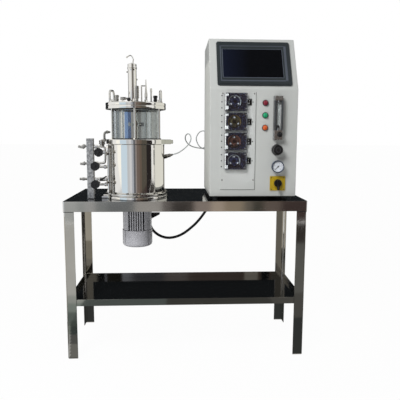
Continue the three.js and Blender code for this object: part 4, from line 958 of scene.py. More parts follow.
aside, forward, pipe_round, ring_z, inlet_z = 50, 52, 4, 50, 417.6
ring_at = math.hypot(aside, forward)
turns = [step * math.tau / 14 for step in range(14)]
ring = turned([(ring_at + pipe_round * math.cos(turn), ring_z + pipe_round * math.sin(turn))
               for turn in turns], 72, closed=True)
parts = [placed(ring, aside, forward), rod((0, 0, ring_z), (0, 0, inlet_z), pipe_round), *gland(9, 7),
         softened(rod((-9, 0, inlet_z), (14, 0, inlet_z), 6.5), 1.2),
         rod((13, 0, inlet_z), (22, 0, inlet_z), 4), hexagon((-9, 0, inlet_z), (-7, 0, inlet_z), 7.4, 0.4)]
piece("air_inlet", mirror_steel, on_vessel(parts, -aside, -forward), "air_sparger")
ball = bmesh.new()
bmesh.ops.create_uvsphere(ball, u_segments=24, v_segments=14, radius=8)
piece("air_filter_ball", moulded, on_vessel([placed(ball, 0, 0, 413.6)], -24, -55), "air_sparger")

sample_port = [(0, 401.7), (9, 401.7), (9, 408), (6, 409.5), (6, 420)]
for ridge in range(6):
    low = 420 + ridge * 7.4
    sample_port += [(8, low + 0.6), (9.4, low + 2), (9.4, low + 4.6), (8, low + 6)]
sample_port += [(8, 465), (8.6, 466), (8.6, 469.4), (7, 471.6), (0, 472)]
plug = [
    (0, 401.7), (9, 401.7), (9, 406.4), (7.6, 407.6), (7.6, 412), (9, 413), (9, 415.4), (7.6, 416.4),
    (7.6, 423), (9.4, 424.4), (9.4, 431), (8, 432.8), (0, 433),
]
parts = [placed(turned(sample_port, 28), 7.7, -30), placed(turned(plug, 28), -76.7, -27, 0.4)]
piece("sample_port_and_plug", turned_steel, on_vessel(parts), slot="polished_steel")
piece("blind_plug", moulded, on_vessel([turned(plug, 28)], 84, -17))

# %% [markdown]
# Inside, the agitator is a shaft with three turbine wheels. A turbine is a disc with six upright blades,
# which throw the broth outwards. Each blade is one block, turned to its place about the shaft. The whole
# turns, so it rides on the drive's own body.

# %% Agitator


def leaned(part, degrees, axis):
    """Turns a part about an axis through the origin."""
    turn = Matrix.Rotation(math.radians(degrees), 3, axis)
    bmesh.ops.rotate(part, cent=(0, 0, 0), matrix=turn, verts=part.verts)
    return part


def turbine(z):
    """A hub, a disc and six blades at one height."""
    hub = [(9, z - 9), (12.4, z - 9), (13, z - 8.4), (13, z + 8.4), (12.4, z + 9), (9, z + 9)]
    disc = [(13, z - 1.5), (23.7, z - 1.5), (24, z - 1.2), (24, z + 1.2), (23.7, z + 1.5), (13, z + 1.5)]
    blades = [leaned(block(15, 33, -1, 1, z - 8, z + 8, 0.3), 60 * blade, "Z") for blade in range(6)]
    return [turned(hub, 32, closed=True), turned(disc, 48, closed=True), *blades]


shaft = [(0, -10), (9, -10), (9, 326), (8, 328), (0, 328)]
coupling = [(0, -26.7), (17, -26.7), (18, -25.7), (18, -10), (17, -9), (0, -9)]
parts = [turned(shaft, 32), turned(coupling, 40), *turbine(95), *turbine(205), *turbine(313)]
piece("agitator_with_turbines", mirror_steel, on_vessel(parts), "agitator", body="drive")

# %% [markdown]
# The sensor is screwed into the jacket's side. A hexagon, a ribbed sleeve and a strain relief carry its
# lead. They are drawn upright, as the other turned parts are, and then laid along the lead.

# %% Sensor fitting


def sensor_part(profile, sides=36):
    """A part turned about Z, laid along the fitting so that Z runs back into the vessel."""
    tilt = math.radians(15)
    way = (-math.cos(tilt), 0, -math.sin(tilt))
    return laid(turned(profile, sides), (-55.6 - vessel_at.x, 0, 185), way)


sleeve = [(0, 26), (9, 26), (10, 27), (10, 46), (0, 46)]
body_of_sensor = [
    (0, 12), (7.4, 12), (8, 12.8), (8, 15), (7.3, 15.5), (7.3, 17), (8, 17.5), (8, 20), (7.3, 20.5),
    (7.3, 22), (8, 22.5), (8, 26.6), (0, 26.6),
]
relief = [(0, 0.3), (3.4, 0.3), (4, 3), (4.4, 6), (5.5, 8), (5.5, 12.4), (0, 12.4)]
piece("sensor_body", turned_steel,
      on_vessel([sensor_part(sleeve, 6), sensor_part(body_of_sensor), sensor_part(relief)]),
      "sensor_fitting")

# %% [markdown]
# The cabinet is folded steel sheet with a fine textured powder coat. The powder melts into a skin with a
# grain of about a millimetre, which breaks up any reflection and leaves a broad soft sheen. Its colour is
# a warm light grey, a little uneven over a hand's breadth. Grained ABS has such a skin too, and so has the
# near black of the motor's seams and core, where the core's dark is painted shade in the grooves, so the
# same function makes them in their own shades.

# %% Powder coat


def powder_coat(name, slot, dark, pale, rough=0.45):
    """Textured paint between two close shades."""
    made, tree, place = start_finish(name, slot)
    cloud = add(tree, "ShaderNodeTexNoise", {"Vector": place, "Scale": per(110), "Detail": 4})
    tone = add(tree, "ShaderNodeMix", {"Factor": cloud.outputs["Fac"], COLOUR_A: srgb(dark),
                                       COLOUR_B: srgb(pale)}, data_type="RGBA")
    grain = add(tree, "ShaderNodeTexNoise", {"Vector": place, "Scale": per(1.4), "Detail": 2})
    skin = add(tree, "ShaderNodeBump", {"Height": grain.outputs["Fac"], "Strength": 0.2,
                                        "Distance": 0.0002})
    gloss = add(tree, "ShaderNodeMapRange", {"Value": grain.outputs["Fac"], "To Min": rough - 0.07,
                                             "To Max": rough + 0.1})
    end_finish(tree, {"Base Color": tone.outputs[COLOUR_OUT], "Roughness": gloss.outputs["Result"],
                      "Normal": skin.outputs["Normal"], "IOR": 1.5})
    print("made", name)
    return made


cabinet_paint = powder_coat("powder_coat_light_grey", "cabinet_paint", "C5C8C6", "CDCFCC")
panel_paint = powder_coat("powder_coat_panel", "cabinet_paint", "C6C9C7", "CED0CE", 0.4)
# Dark for the cabinet's floor and feet. Along the floor's front edge it is painted shade under the
# cabinet.
dark_paint = powder_coat("powder_coat_dark_and_painted_shade", "dark_paint", "34373A", "3F4245")
slate_plastic = powder_coat("moulded_slate_abs", "grey_plastic", "272C2F", "32383B", 0.38)

# %% [markdown]
# The motor hangs under the bench top. Its housing is cast aluminium with smooth grey enamel, which hides
# most of the casting's grain. Enamel is a little glossy, and dirt lets its colour wander over a centimetre
# or two. The core between the fins is near black, which is painted shade in the grooves.

# %% Motor enamel
enamel, tree, place = start_finish("motor_enamel", "motor_paint")
blotch = add(tree, "ShaderNodeTexNoise", {"Vector": place, "Scale": per(22), "Detail": 5})
tone = add(tree, "ShaderNodeMix", {"Factor": blotch.outputs["Fac"], COLOUR_A: srgb("A6A7AC"),
                                   COLOUR_B: srgb("BCBCC2")}, data_type="RGBA")
grit = add(tree, "ShaderNodeTexNoise", {"Vector": place, "Scale": per(1.6), "Detail": 2})
bumps = add(tree, "ShaderNodeBump", {"Height": grit.outputs["Fac"], "Strength": 0.25,
                                     "Distance": 0.0003})
gloss = add(tree, "ShaderNodeMapRange", {"Value": blotch.outputs["Fac"], "To Min": 0.18, "To Max": 0.3})
end_finish(tree, {"Base Color": tone.outputs[COLOUR_OUT], "Roughness": gloss.outputs["Result"],
                  "Normal": bumps.outputs["Normal"], "IOR": 1.5})
# Near black for the motor's dark seams, and for its core, where it is painted shade in the grooves between
# the fins.
cast_iron = powder_coat("dark_seams_and_painted_groove_shade", "motor_paint", "1F2022", "34353A", 0.5)
print("made", enamel.name)

# %% [markdown]
# The housing has cooling grooves down its front and its back, between smooth cheeks. Cutting grooves out
# of a cylinder would need booleans. Here a near-black core is turned first, and each fin is a thin block
# that stands out of it, so the grooves are what the fins leave free, and the core's near black is painted
# shade in them. The cheeks are flat outlines pulled up. Four screws hold the flange under the bench top.

# %% Motor housing


def prism(outline, height, edge=0.0):
    """A flat outline in X and Y pulled up from zero."""
    part = bmesh.new()
    face = part.faces.new([part.verts.new((x, y, 0)) for x, y in outline])
    pulled = bmesh.ops.extrude_face_region(part, geom=[face])["geom"]
    bmesh.ops.translate(part, vec=(0, 0, height),
                        verts=[item for item in pulled if isinstance(item, bmesh.types.BMVert)])
    bmesh.ops.recalc_face_normals(part, faces=part.faces)
    return softened(part, edge) if edge else part


motor_radius = 62.5
core = [(0, -141), (54.5, -141), (54.5, -46), (0, -46)]
ends = [
    turned([(12, -46), (12, -44), (50.5, -42), (50.5, -17), (24.4, -17), (24.4, -46)], 64, closed=True),
    turned([(24.4, -16.3), (69, -16.3), (70, -15.3), (70, -7.3), (69, -6.3), (24.4, -6.3)], 72,
           closed=True),
]
fins = []
for x in range(-25, 26, 10):
    reach = math.sqrt(motor_radius ** 2 - max(abs(x) - 3, 0) ** 2) - 0.6
    for side in (-1, 1):
        low, high = sorted((side * 30, side * reach))
        fins.append(block(x - 3, x + 3, low, high, -140.6, -50, 0.8))
turns = [math.radians(angle) for angle in range(-54, 55, 4)]
cheek_line = [(motor_radius * math.cos(turn), motor_radius * math.sin(turn)) for turn in turns]
cheeks = [leaned(placed(prism([(34, -50.5), *cheek_line, (34, 50.5)], 95, 0.8), 0, 0, -141), turn, "Z")
          for turn in (0, 180)]
crown = turned([(9.9, -50), (58, -50), (61.5, -48.6), (61.5, -47.2), (59, -46), (9.9, -46)], 72,
               closed=True)
piece("motor_housing", enamel, on_vessel([*ends, *fins, *cheeks, crown]), "motor_body")
seam = turned([(50, -141.3), (62.2, -141.3), (62.2, -138.4), (50, -138.4)], 72, closed=True)
# The core's near black is painted shade deep in the grooves.
piece("motor_core_in_painted_shade", cast_iron, on_vessel([turned(core, 64), seam]), "motor_body")
screws = round_about(lambda: [leaned(part, 180, "X") for part in cap_screw(16.3, 5.5, 6)], 4, 62, 45)
piece("motor_flange_screws", turned_steel, on_vessel(screws))

# %% [markdown]
# The fan cowl is pressed sheet. It is one profile, spun as a thin wall, with a round shoulder at the
# bottom. Slots could be cut into a closed bottom, but bars across an open one leave the same slots. The
# fan inside turns with the shaft. The terminal box is the CAD shape with its edges broken and a seam for
# its lid.

# %% Fan cowl, fan and terminal box
cowl_top = -141.3
cowl_wall = [
    (65, cowl_top), (65, -201), (63.8, -206.5), (60, -210.8), (54, -213.3), (46, -214),
    (42, -214), (42, -211.5), (46, -211.5), (53, -211), (58, -208.8), (61.2, -205.4), (62.5, -201),
    (62.5, cowl_top),
]
slats = []
for x in range(-36, 37, 12):
    reach = math.sqrt(43.5 ** 2 - x ** 2)
    slats.append(block(x - 2, x + 2, -reach, reach, -213.9, -211.6, 0.5))
inner_ring = turned([(19, -213.9), (22, -213.9), (22, -211.6), (19, -211.6)], 40, closed=True)
cowl_screws = [softened(rod((0, 63.6, -156), (0, 65.9, -156), 3.6, sides=20), 0.7)]
cowl_screws += [leaned(softened(rod((0, 63.6, -152), (0, 66, -152), 3.4, sides=20), 0.7), turn, "Z")
                for turn in (75, 165, 255, 345)]
piece("motor_fan_cowl_pressed", enamel,
      on_vessel([turned(cowl_wall, 96, closed=True), *slats, inner_ring, *cowl_screws]), "motor_fan_cowl")

seams = [leaned(block(-0.8, 0.8, -65.25, -64.5, -201, -142), turn, "Z") for turn in (-48, 48)]
piece("motor_cowl_seams", cast_iron, on_vessel(seams))

fan_hub = [(0, -202), (9, -202), (9, -197.3), (18, -197), (18, -171.6), (17, -171), (9, -171), (9, -27),
           (0, -27)]
fan_disc = [(17, -175), (44, -175), (44, -172), (17, -172)]
blades = [leaned(block(15, 50, -1, 1, -196, -172, 0.4), 60 * blade, "Z") for blade in range(6)]
piece("motor_fan", turned_steel, on_vessel([turned(fan_hub, 32), turned(fan_disc, 48, closed=True),
                                            *blades]), "motor_fan_shaft", body="drive")

lid_line = block(vessel_at.x + motor_radius, vessel_at.x + 96.4, vessel_at.y + 30.6, vessel_at.y + 71.4,
                 bench_top - 84.6, bench_top - 83.4, 0.4)
piece("terminal_box_moulded", moulded, [from_node("motor_terminal_box", 1.2), lid_line],
      "motor_terminal_box")

# %% [markdown]
# Cold and hot water reach the jacket through a small manifold: a square post with hose tails on its left,
# branch pipes with three hand valves, one lever valve, and a riser that is bolted to the jacket. Pipes
# are polished, the nuts and valve bodies are turned or cast, and the handwheels are black nylon.

# %% Manifold post
post_half = 14.0
post_x = corners("manifold_post")[1].x - post_half
post_y = -155.0
riser_x = post_x + 74.6
level_one, level_two, level_two_low, level_three, level_three_low = 219, 151, 135, 83, 61


def on_bench(parts, x=0.0, y=0.0):
    """Lifts parts to the height of the bench top, and to a place on it if asked."""
    return [placed(part, x, y, bench_top) for part in parts]


def pipe(points, radius=5.0):
    """A pipe whose corners are bent round, through points in millimetres."""
    return bent(points, radius, 20)


def union(x, z, way=(1, 0, 0), tall=12.0, across=8.2):
    """A union nut on a pipe: a hexagon with a collar at each end."""
    way = Vector(way)
    at = Vector((x, post_y, z))
    return [hexagon(at - way * tall / 2, at + way * tall / 2, across, 0.7),
            softened(rod(at - way * (tall / 2 + 2), at + way * (tall / 2 + 2), across * 0.82), 0.5)]


post = [block(-post_half, post_half, -post_half, post_half, low, high, edge)
        for low, high, edge in ((0.3, 251, 1.6), (250.4, 253, 1.1), (0.3, 5, 0.8))]
piece("manifold_post_tube", pickled_steel, on_bench(post, post_x, post_y), "manifold_post")
left = post_x - post_half + 1
tails = [
    rod((left, post_y, 222), (left - 14, post_y, 222), 5),
    hexagon((left - 8, post_y, 224), (left - 20, post_y, 215), 8.5, 0.8),
    barb((left - 18, post_y, 215), (-20, 0, 5), 20, 6.2),
    rod((left, post_y, 149), (left - 12, post_y, 149), 5),
    hexagon((left - 9, post_y, 152), (left - 19, post_y, 146), 7.5, 0.7),
    barb((left - 17, post_y, 146), (-14, 0, 2), 14, 5.6),
    rod((left, post_y, 84), (left - 34, post_y, 84), 5),
    hexagon((left - 14, post_y, 84), (left - 23, post_y, 84), 7, 0.6),
    barb((left - 22, post_y, 84), (-1, 0, 0), 12, 5.2),
]
piece("hose_tails", turned_steel, on_bench(tails), "manifold_post")

# %% [markdown]
# The branch pipes leave the post at three heights, and their levels are named above. Unions join them to
# the valves and to the riser, whose two bosses point at the jacket. A valve is a body and a bonnet that
# are turned about the stem, with a nut between them.

# %% Branch pipes, valve bodies and riser
start = post_x + 15.3
drop_x = riser_x - 14.5
upper_level = 196.7
valves = {"upper": (upper_level, 9), "middle": (140, 10), "lower": (65, 10)}
lever_at = axis_of("drain_lever_turn")


def facing_front(part):
    """Turns a part that was made about Z so that its top looks towards the operator, at -Y."""
    return leaned(part, 90, "X")


def along_y(profile, x, z, sides=32):
    """A part turned about Z whose top is laid towards the operator, at a place on the manifold."""
    return placed(facing_front(turned(profile, sides)), x, post_y, z)


spool = [
    pipe(through([(start, post_y, level_one), (drop_x - 12, post_y, level_one),
                  (drop_x, post_y, level_one - 9), (drop_x, post_y, level_two + 9),
                  (drop_x - 10, post_y, level_two), (start, post_y, level_two)], 6)),
    pipe([(start + 12, post_y, level_two_low), (riser_x, post_y, level_two_low)]),
    pipe([(start, post_y, level_three), (riser_x, post_y, level_three)]),
    pipe([(start + 12, post_y, level_three_low), (riser_x, post_y, level_three_low)]),
    pipe([(start + 24, post_y, upper_level), (drop_x, post_y, upper_level)]),
    pipe([(riser_x, post_y, 25), (riser_x, post_y, 225.3)], 6),
]
fittings = [
    *union(drop_x - 4, upper_level), *union(start + 8, level_one),
    *union(start + 8, level_two, tall=10),
    *union(start + 8, level_three, tall=10), *union(riser_x - 14, level_two_low, tall=9),
    *union(riser_x - 14, level_three, tall=9), *union(riser_x - 13, level_three_low, tall=9),
    *union(riser_x, 32, (0, 0, 1), 10, 9), *union(riser_x, 218, (0, 0, 1), 9, 9),
    softened(rod((lever_at.x - 9, post_y, level_three), (lever_at.x + 13, post_y, level_three), 8.4), 0.8),
    hexagon((lever_at.x - 12, post_y, level_three), (lever_at.x - 6, post_y, level_three), 9.2, 0.6),
    along_y([(0, 0), (6, 0), (6, 9), (5, 11.7), (0, 11.7)], lever_at.x, level_three),
]
towards = Vector((vessel_at.x - riser_x, vessel_at.y - post_y, 0)).normalized()
for height in (190, 70):
    from_riser = Vector((riser_x, post_y, height))
    fittings.append(rod(from_riser, from_riser + towards * 7.6, 5))
    fittings.append(hexagon(from_riser - towards * 9, from_riser + towards * 1, 8, 0.7))
for name, (z, size) in valves.items():
    x = axis_of("handwheel_" + name + "_turn").x
    body_line = [(0, -11), (size - 1, -11), (size, -10), (size, 11), (size - 1, 12), (0, 12)]
    bonnet = [(0, 10), (9, 10), (9, 15), (8.4, 16), (8.4, 21), (7, 22.5), (6, 30), (5.4, 31), (0, 31)]
    nut = placed(facing_front(hexagon((0, 0, 12), (0, 0, 18), 9.4, 0.6)), x, post_y, z)
    fittings += [along_y(body_line, x, z), along_y(bonnet, x, z), nut]
    fittings += [hexagon((x - size - 3, post_y, z), (x - size + 2, post_y, z), 8, 0.5),
                 hexagon((x + size - 2, post_y, z), (x + size + 3, post_y, z), 8, 0.5)]
piece("branch_pipes", mirror_steel, on_bench(spool), "pipe_spool")
piece("valves_and_unions", mirror_steel, on_bench(fittings))

# %% [markdown]
# A solenoid valve sits on top of the manifold: a turned steel can with the coil inside, on a short core
# tube. At the jacket's top flange stands a small elbow, which vents the heating space through a hose tail
# that points to the back. Both are made from the parts above, turned lines, hexagons, a bent pipe and a
# barb, so they match the other fittings.

# %% Solenoid and vent elbow
coil_x = post_x + 49.5
can = [
    (0, 225), (9, 225), (9, 227.4), (12.6, 228.4), (13, 229.4), (13, 233), (12, 234), (12, 236), (13, 237),
    (13, 243.6), (12, 245.2), (6, 245.8), (5.4, 248.4), (0, 248.6),
]
core = [turned(can, 40), hexagon((0, 0, 220), (0, 0, 225.4), 9, 0.6)]
piece("solenoid_valve", turned_steel, on_bench(core, coil_x, post_y), slot="polished_steel")
elbow_x, elbow_y = -349.0, -93.0
elbow = [
    hexagon((0, 0, 240), (0, 0, 252), 8, 0.6),
    pipe(through([(0, 0, 250), (0, 0, 268), (3, 3, 277), (11, 10, 280)])),
    hexagon((8, 8, 280), (14, 14, 280), 7.5, 0.6),
    barb((13, 13, 280), (1, 1, 0), 12, 5),
]
piece("vent_elbow", turned_steel, on_bench(elbow, elbow_x, elbow_y), slot="polished_steel")

# %% [markdown]
# A handwheel is round with six shallow hollows for the fingers. A circle of points is pushed in where the
# hollows are, filled, pulled to its thickness and bevelled. It is modelled at its axis, and it rides on
# its own body, so it turns on the valve's stem. The black wheels stay out of reflections, or the jacket
# beside them would show dark blots.

# %% Handwheels and drain lever


def handwheel(radius=18.3, thick=14.0):
    """A lobed wheel with a sunk hub, made about Z with its front at the top."""
    wheel = bmesh.new()
    bmesh.ops.create_circle(wheel, cap_ends=True, segments=96, radius=radius)
    for point in wheel.verts:
        angle = math.atan2(point.co.y, point.co.x)
        point.co *= 1 - 0.085 * max(0.0, math.cos(6 * angle)) ** 2
    face = wheel.faces[:][0]
    geom = bmesh.ops.extrude_face_region(wheel, geom=[face])["geom"]
    top = next(item for item in geom if isinstance(item, bmesh.types.BMFace))
    bmesh.ops.translate(wheel, vec=(0, 0, thick), verts=top.verts)
    bmesh.ops.recalc_face_normals(wheel, faces=wheel.faces)
    softened(wheel, 2.6, 4, 50)
    front = max(wheel.faces, key=lambda one: one.calc_center_median().z * one.calc_area())
    bmesh.ops.inset_region(wheel, faces=[front], thickness=4.5, depth=-0.8)
    placed(wheel, 0, 0, -thick / 2)
    button = turned([(0, 5), (5.5, 5.5), (5.5, 6.4), (4.4, 7), (0, 7)], 32)
    hub = turned([(0, -16), (5.6, -16), (7, -14.4), (7, -5), (0, -5)], 32)
    stem = rod((0, 0, -27), (0, 0, -5), 3, sides=20)
    return [wheel, button, hub, stem]


def at_front(parts, x, y, z):
    """Turns parts towards the operator and moves them to a place in millimetres."""
    return [placed(facing_front(part), x, y, z) for part in parts]


for name in valves:
    joint_at = axis_of("handwheel_" + name + "_turn")
    parts = at_front(handwheel(), *joint_at)
    wheel = piece("handwheel_" + name + "_lobed", moulded, parts, "handwheel_" + name,
                  body="handwheel_" + name)
    wheel.visible_glossy = False
grip = leaned(block(-5, 27, -8.5, -4.5, -3, 3, 1.2), -31, "Y")
hub = facing_front(turned([(0, 0.3), (6, 0.3), (6, 8.5), (5, 9.5), (0, 9.5)], 28))
stem = rod((0, -1, 0), (0, 7.7, 0), 3, sides=16)
piece("drain_lever_moulded", moulded, [placed(part, *lever_at) for part in (grip, hub, stem)],
      "drain_lever", body="drain_lever")

# %% [markdown]
# The cabinet's skin goes up the front, bends back at the screen, and runs over the top. It could be a box
# with a slanted corner, but a box has no folds. So its side outline is pulled sideways into a block, and
# the folds are rounded. Cutting off the back and the bottom leaves an open skin, which gets its sheet
# thickness inwards.

# %% Cabinet skin
cabinet_x = 276.0
front_y, rear_y, bend_z, top_z, foot_z = -215.0, 165.0, 454.0, 669.5, 17.3
top_front_y = -108.0
slope = math.atan2(top_front_y - front_y, top_z - bend_z)


def cut_off(part, at, way):
    """Cuts a part by a plane and drops what lies on the side that the way points to."""
    whole = part.verts[:] + part.edges[:] + part.faces[:]
    bmesh.ops.bisect_plane(part, geom=whole, plane_co=at, plane_no=way, clear_outer=True)


cabinet_wide, spare = 360, 20
side_line = [(front_y, 0), (front_y, bend_z), (top_front_y, top_z), (rear_y + spare, top_z),
             (rear_y + spare, 0)]
skin = prism(side_line, cabinet_wide)
to_side = Matrix(((0, 0, 1, 0), (1, 0, 0, 0), (0, 1, 0, 0), (0, 0, 0, 1)))
bmesh.ops.transform(skin, matrix=to_side, verts=skin.verts)
placed(skin, cabinet_x - cabinet_wide / 2)
softened(skin, 2.6, 4, 20)
cut_off(skin, (0, rear_y, 0), (0, 1, 0))
cut_off(skin, (0, 0, foot_z), (0, 0, -1))
bmesh.ops.recalc_face_normals(skin, faces=skin.faces)
bmesh.ops.solidify(skin, geom=skin.faces[:], thickness=1.5)
piece("cabinet_skin", cabinet_paint, on_bench([skin]), "cabinet_shell")

# %% [markdown]
# The floor of the cabinet stands on four rubber feet, and a plain sheet with air slots closes the back.
# Both are CAD shapes with their edges broken.

# %% Cabinet floor, feet and back
# The feet are dark rubber, and the floor sheet's dark is painted shade under the cabinet.
copied("cabinet_floor_and_feet", dark_paint, "cabinet_base", 0.5)
copied("cabinet_back_sheet", cabinet_paint, "cabinet_back_panel", 0.3)
back_screws = []
for x in (cabinet_x - 165, cabinet_x, cabinet_x + 165):
    for z in (35, 340, 652):
        head = leaned(turned([(0, 0), (4.2, 0), (4, 1.4), (2.6, 2.4), (0, 2.7)], 20), -90, "X")
        back_screws.append(placed(head, x, rear_y, z))
piece("back_sheet_screws", turned_steel, on_bench(back_screws))
copied("rear_socket_turned", turned_steel, "rear_socket", 0.5)
gland_at = sum(corners("cabinet_cable_gland"), Vector()) / 2
gland_line = [(0, -22), (6.4, -22), (7.5, -19), (9.7, -13.4), (9.7, 25), (0, 25)]
gland_nut = hexagon((0, 0, 3), (0, 0, 17), 13.8, 0.8)
piece("cable_gland_moulded", moulded,
      on_bench([turned(gland_line, 32), gland_nut], gland_at.x, gland_at.y),
      "cabinet_cable_gland")

# %% [markdown]
# The touch panel lies on the slope. It is drawn flat, with X across, Y up the slope and Z out of it, and
# then turned and moved there. The bezel is slate-coloured ABS with a slim lighter frame round a dark
# glass. The glass has a faint blue sheen painted towards its left side, which fades to near black at its
# right.

# %% Screen glass
screen_glass, tree, place = start_finish("screen_glass", "black_plastic")
split = add(tree, "ShaderNodeSeparateXYZ", {"Vector": place})
# The faint blue at the glass's left side is a painted sheen, fading to near black by 0.26 m along X.
side = add(tree, "ShaderNodeMapRange", {"Value": split.outputs["X"], "From Min": 0.15, "From Max": 0.26})
tone = add(tree, "ShaderNodeMix", {"Factor": side.outputs["Result"], COLOUR_A: srgb("171B2A"),
                                   COLOUR_B: srgb("0D0E11")}, data_type="RGBA")
print_marks = add(tree, "ShaderNodeTexNoise", {"Vector": place, "Scale": per(30), "Detail": 4})
gloss = add(tree, "ShaderNodeMapRange", {"Value": print_marks.outputs["Fac"], "To Min": 0.08,
                                         "To Max": 0.2})
end_finish(tree, {"Base Color": tone.outputs[COLOUR_OUT], "Roughness": gloss.outputs["Result"],
                  "IOR": 1.5})
print("made", screen_glass.name)
frame_plastic = powder_coat("moulded_blue_grey_abs", "grey_plastic", "4C525C", "5A606A", 0.35)

# %% [markdown]
# The bezel is the CAD shape with its edges broken. Thin strips make the frame round the glass and the
# raised border of the bezel.

# %% Touch panel
screen_x, screen_along = cabinet_x + 3, 118.0


def on_slope(part):
    """Lays a flat-drawn part on the sloping face."""
    leaned(part, 90 - math.degrees(slope), "X")
    return placed(part, screen_x, front_y + screen_along * math.sin(slope),
                  bend_z + screen_along * math.cos(slope) + bench_top)


copied("screen_bezel", slate_plastic, "touch_panel", 0.7)
strips = [block(-131, 121, -71, -68.4, 6.9, 8.0, 0.3), block(-131, 121, 65.8, 68, 6.9, 7.6, 0.3),
          block(-131, -127.6, -71, 68, 6.9, 8.0, 0.3), block(118.6, 121, -71, 68, 6.9, 7.6, 0.3),
          block(-139, -135, -87, 83, 7.9, 8.5, 0.3), block(127, 137, -87, 83, 7.9, 8.5, 0.3),
          block(-139, 137, 80, 83, 7.9, 8.5, 0.3), block(-139, 137, -87, -82, 7.9, 8.5, 0.3)]
piece("screen_frame", frame_plastic, [on_slope(strip) for strip in strips])
piece("screen_pane", screen_glass, [on_slope(block(-127.8, 118.8, -68.6, 66, 6.85, 7.35, 0.2))])

# %% [markdown]
# Four small roller pumps sit on one panel. Rollers squeeze a soft tube against a round raceway and so
# push liquid along. Heads, rotors and rollers are acetal in several dark shades, which shines softly, as
# if waxed. The tubes are silicone, and two of them are dyed. Clips are dull nylon, and the switches are
# ABS with a clear shine. All of them are even plastics, so one function with other shades is enough.

# %% Pump colours
head_plastic = moulding("moulded_black_pom", "pump_housing", "0A0D18", "141930", 0.2, 0.35, 12)
rotor_plastic = moulding("moulded_blue_black_pom", "rotor_plastic", "101730", "1C2748", 0.25, 0.4)
roller_plastic = moulding("turned_grey_pom", "rotor_plastic", "23262E", "353A45")
# The pale caps on the rollers' ends are painted highlights of the rollers.
pin_plastic = moulding("white_pom_painted_highlight", "rotor_plastic", "A9AEB4", "C9CCCF")
clear_tube = moulding("silicone_tube_clear", "grey_lead", "8F979C", "A9B0B4", 0.2, 0.35, 5)
olive_tube = moulding("silicone_tube_olive", "grey_lead", "5B4E2C", "7A6A3E", 0.25, 0.4, 5)
brown_tube = moulding("silicone_tube_brown", "grey_lead", "6A4235", "85584A", 0.25, 0.4, 5)
clip_plastic = moulding("moulded_white_nylon", "gauge_white", "E4E6E4", "F2F3F1")
# This black is for print, and for the painted shade strips beside the pump panel.
print_black = moulding("black_print_and_painted_shade", "black_plastic", "1D1E20", "2A2B2D", 0.4, 0.5)
switch_black = moulding("moulded_black_abs", "black_plastic", "060708", "0E0F10", 0.12, 0.2)
olive_rotor = moulding("moulded_olive_pom", "rotor_plastic", "2E2A17", "403B24", 0.25, 0.4)
brown_rotor = moulding("moulded_brown_pom", "rotor_plastic", "3B231B", "4E2F26", 0.25, 0.4)

# %% [markdown]
# The covers are polycarbonate, clear and quite glossy, with fine scratches from wiping. A clean surface
# would be simpler, but streaks of duller gloss show that there is a cover at all. They are drawn 1.2 mm
# apart, coarser than real scratches, as fine as they still show.

# %% Polycarbonate
polycarbonate, tree, place = start_finish("clear_polycarbonate", "clear_plastic")
scratch_at = add(tree, "ShaderNodeMapping", {"Vector": place, "Scale": (0.06, 1, 1)})
scratch = add(tree, "ShaderNodeTexNoise", {"Vector": scratch_at.outputs["Vector"], "Scale": per(1.2),
                                           "Detail": 2})
gloss = add(tree, "ShaderNodeMapRange", {"Value": scratch.outputs["Fac"], "From Min": 0.55,
                                         "From Max": 0.8, "To Min": 0.01, "To Max": 0.08})
end_finish(tree, {"Base Color": srgb("E6EAED"), "Roughness": gloss.outputs["Result"],
                  "Transmission Weight": 1.0, "IOR": 1.585})
print("made", polycarbonate.name)

# %% [markdown]
# Each pump head is a dark block with a round pocket. It starts as the pocket's floor, a filled circle,
# whose edge is pulled up, out to the block's outline, and down again.

# %% Pump panel and heads
pocket_aside, half_wide, half_high, head_deep = 5.5, 45, 35, 17
panel_face_y = front_y - 3.3
head_face_y = panel_face_y - head_deep
panel = block(cabinet_x - 136.25, cabinet_x + 6.25, panel_face_y, front_y - 0.3, 45, 441, 0.8)
piece("pump_panel_sheet", panel_paint, on_bench([panel]), "pump_panel")


def pump_head():
    """A block 90 by 70 by 17 mm with a round pocket, made about Z with its front at the top."""
    part = bmesh.new()
    bmesh.ops.create_circle(part, cap_ends=True, segments=72, radius=27)
    placed(part, -pocket_aside, 0, 3)
    rim = part.edges[:]
    for step in ("wall", "face", "side"):
        pulled = bmesh.ops.extrude_edge_only(part, edges=rim)["geom"]
        rim = [item for item in pulled if isinstance(item, bmesh.types.BMEdge)]
        for point in {point for edge in rim for point in edge.verts}:
            if step == "wall":
                point.co.z = head_deep
            elif step == "side":
                point.co.z = 0
            else:
                x, y = point.co.x + pocket_aside, point.co.y
                side = half_wide + math.copysign(pocket_aside, x)
                reach = min(side / max(abs(x), 1e-6), half_high / max(abs(y), 1e-6))
                point.co.x, point.co.y = x * reach - pocket_aside, y * reach
    bmesh.ops.edgeloop_fill(part, edges=rim)
    bmesh.ops.recalc_face_normals(part, faces=part.faces)
    return softened(part, 0.9, 2, 40)


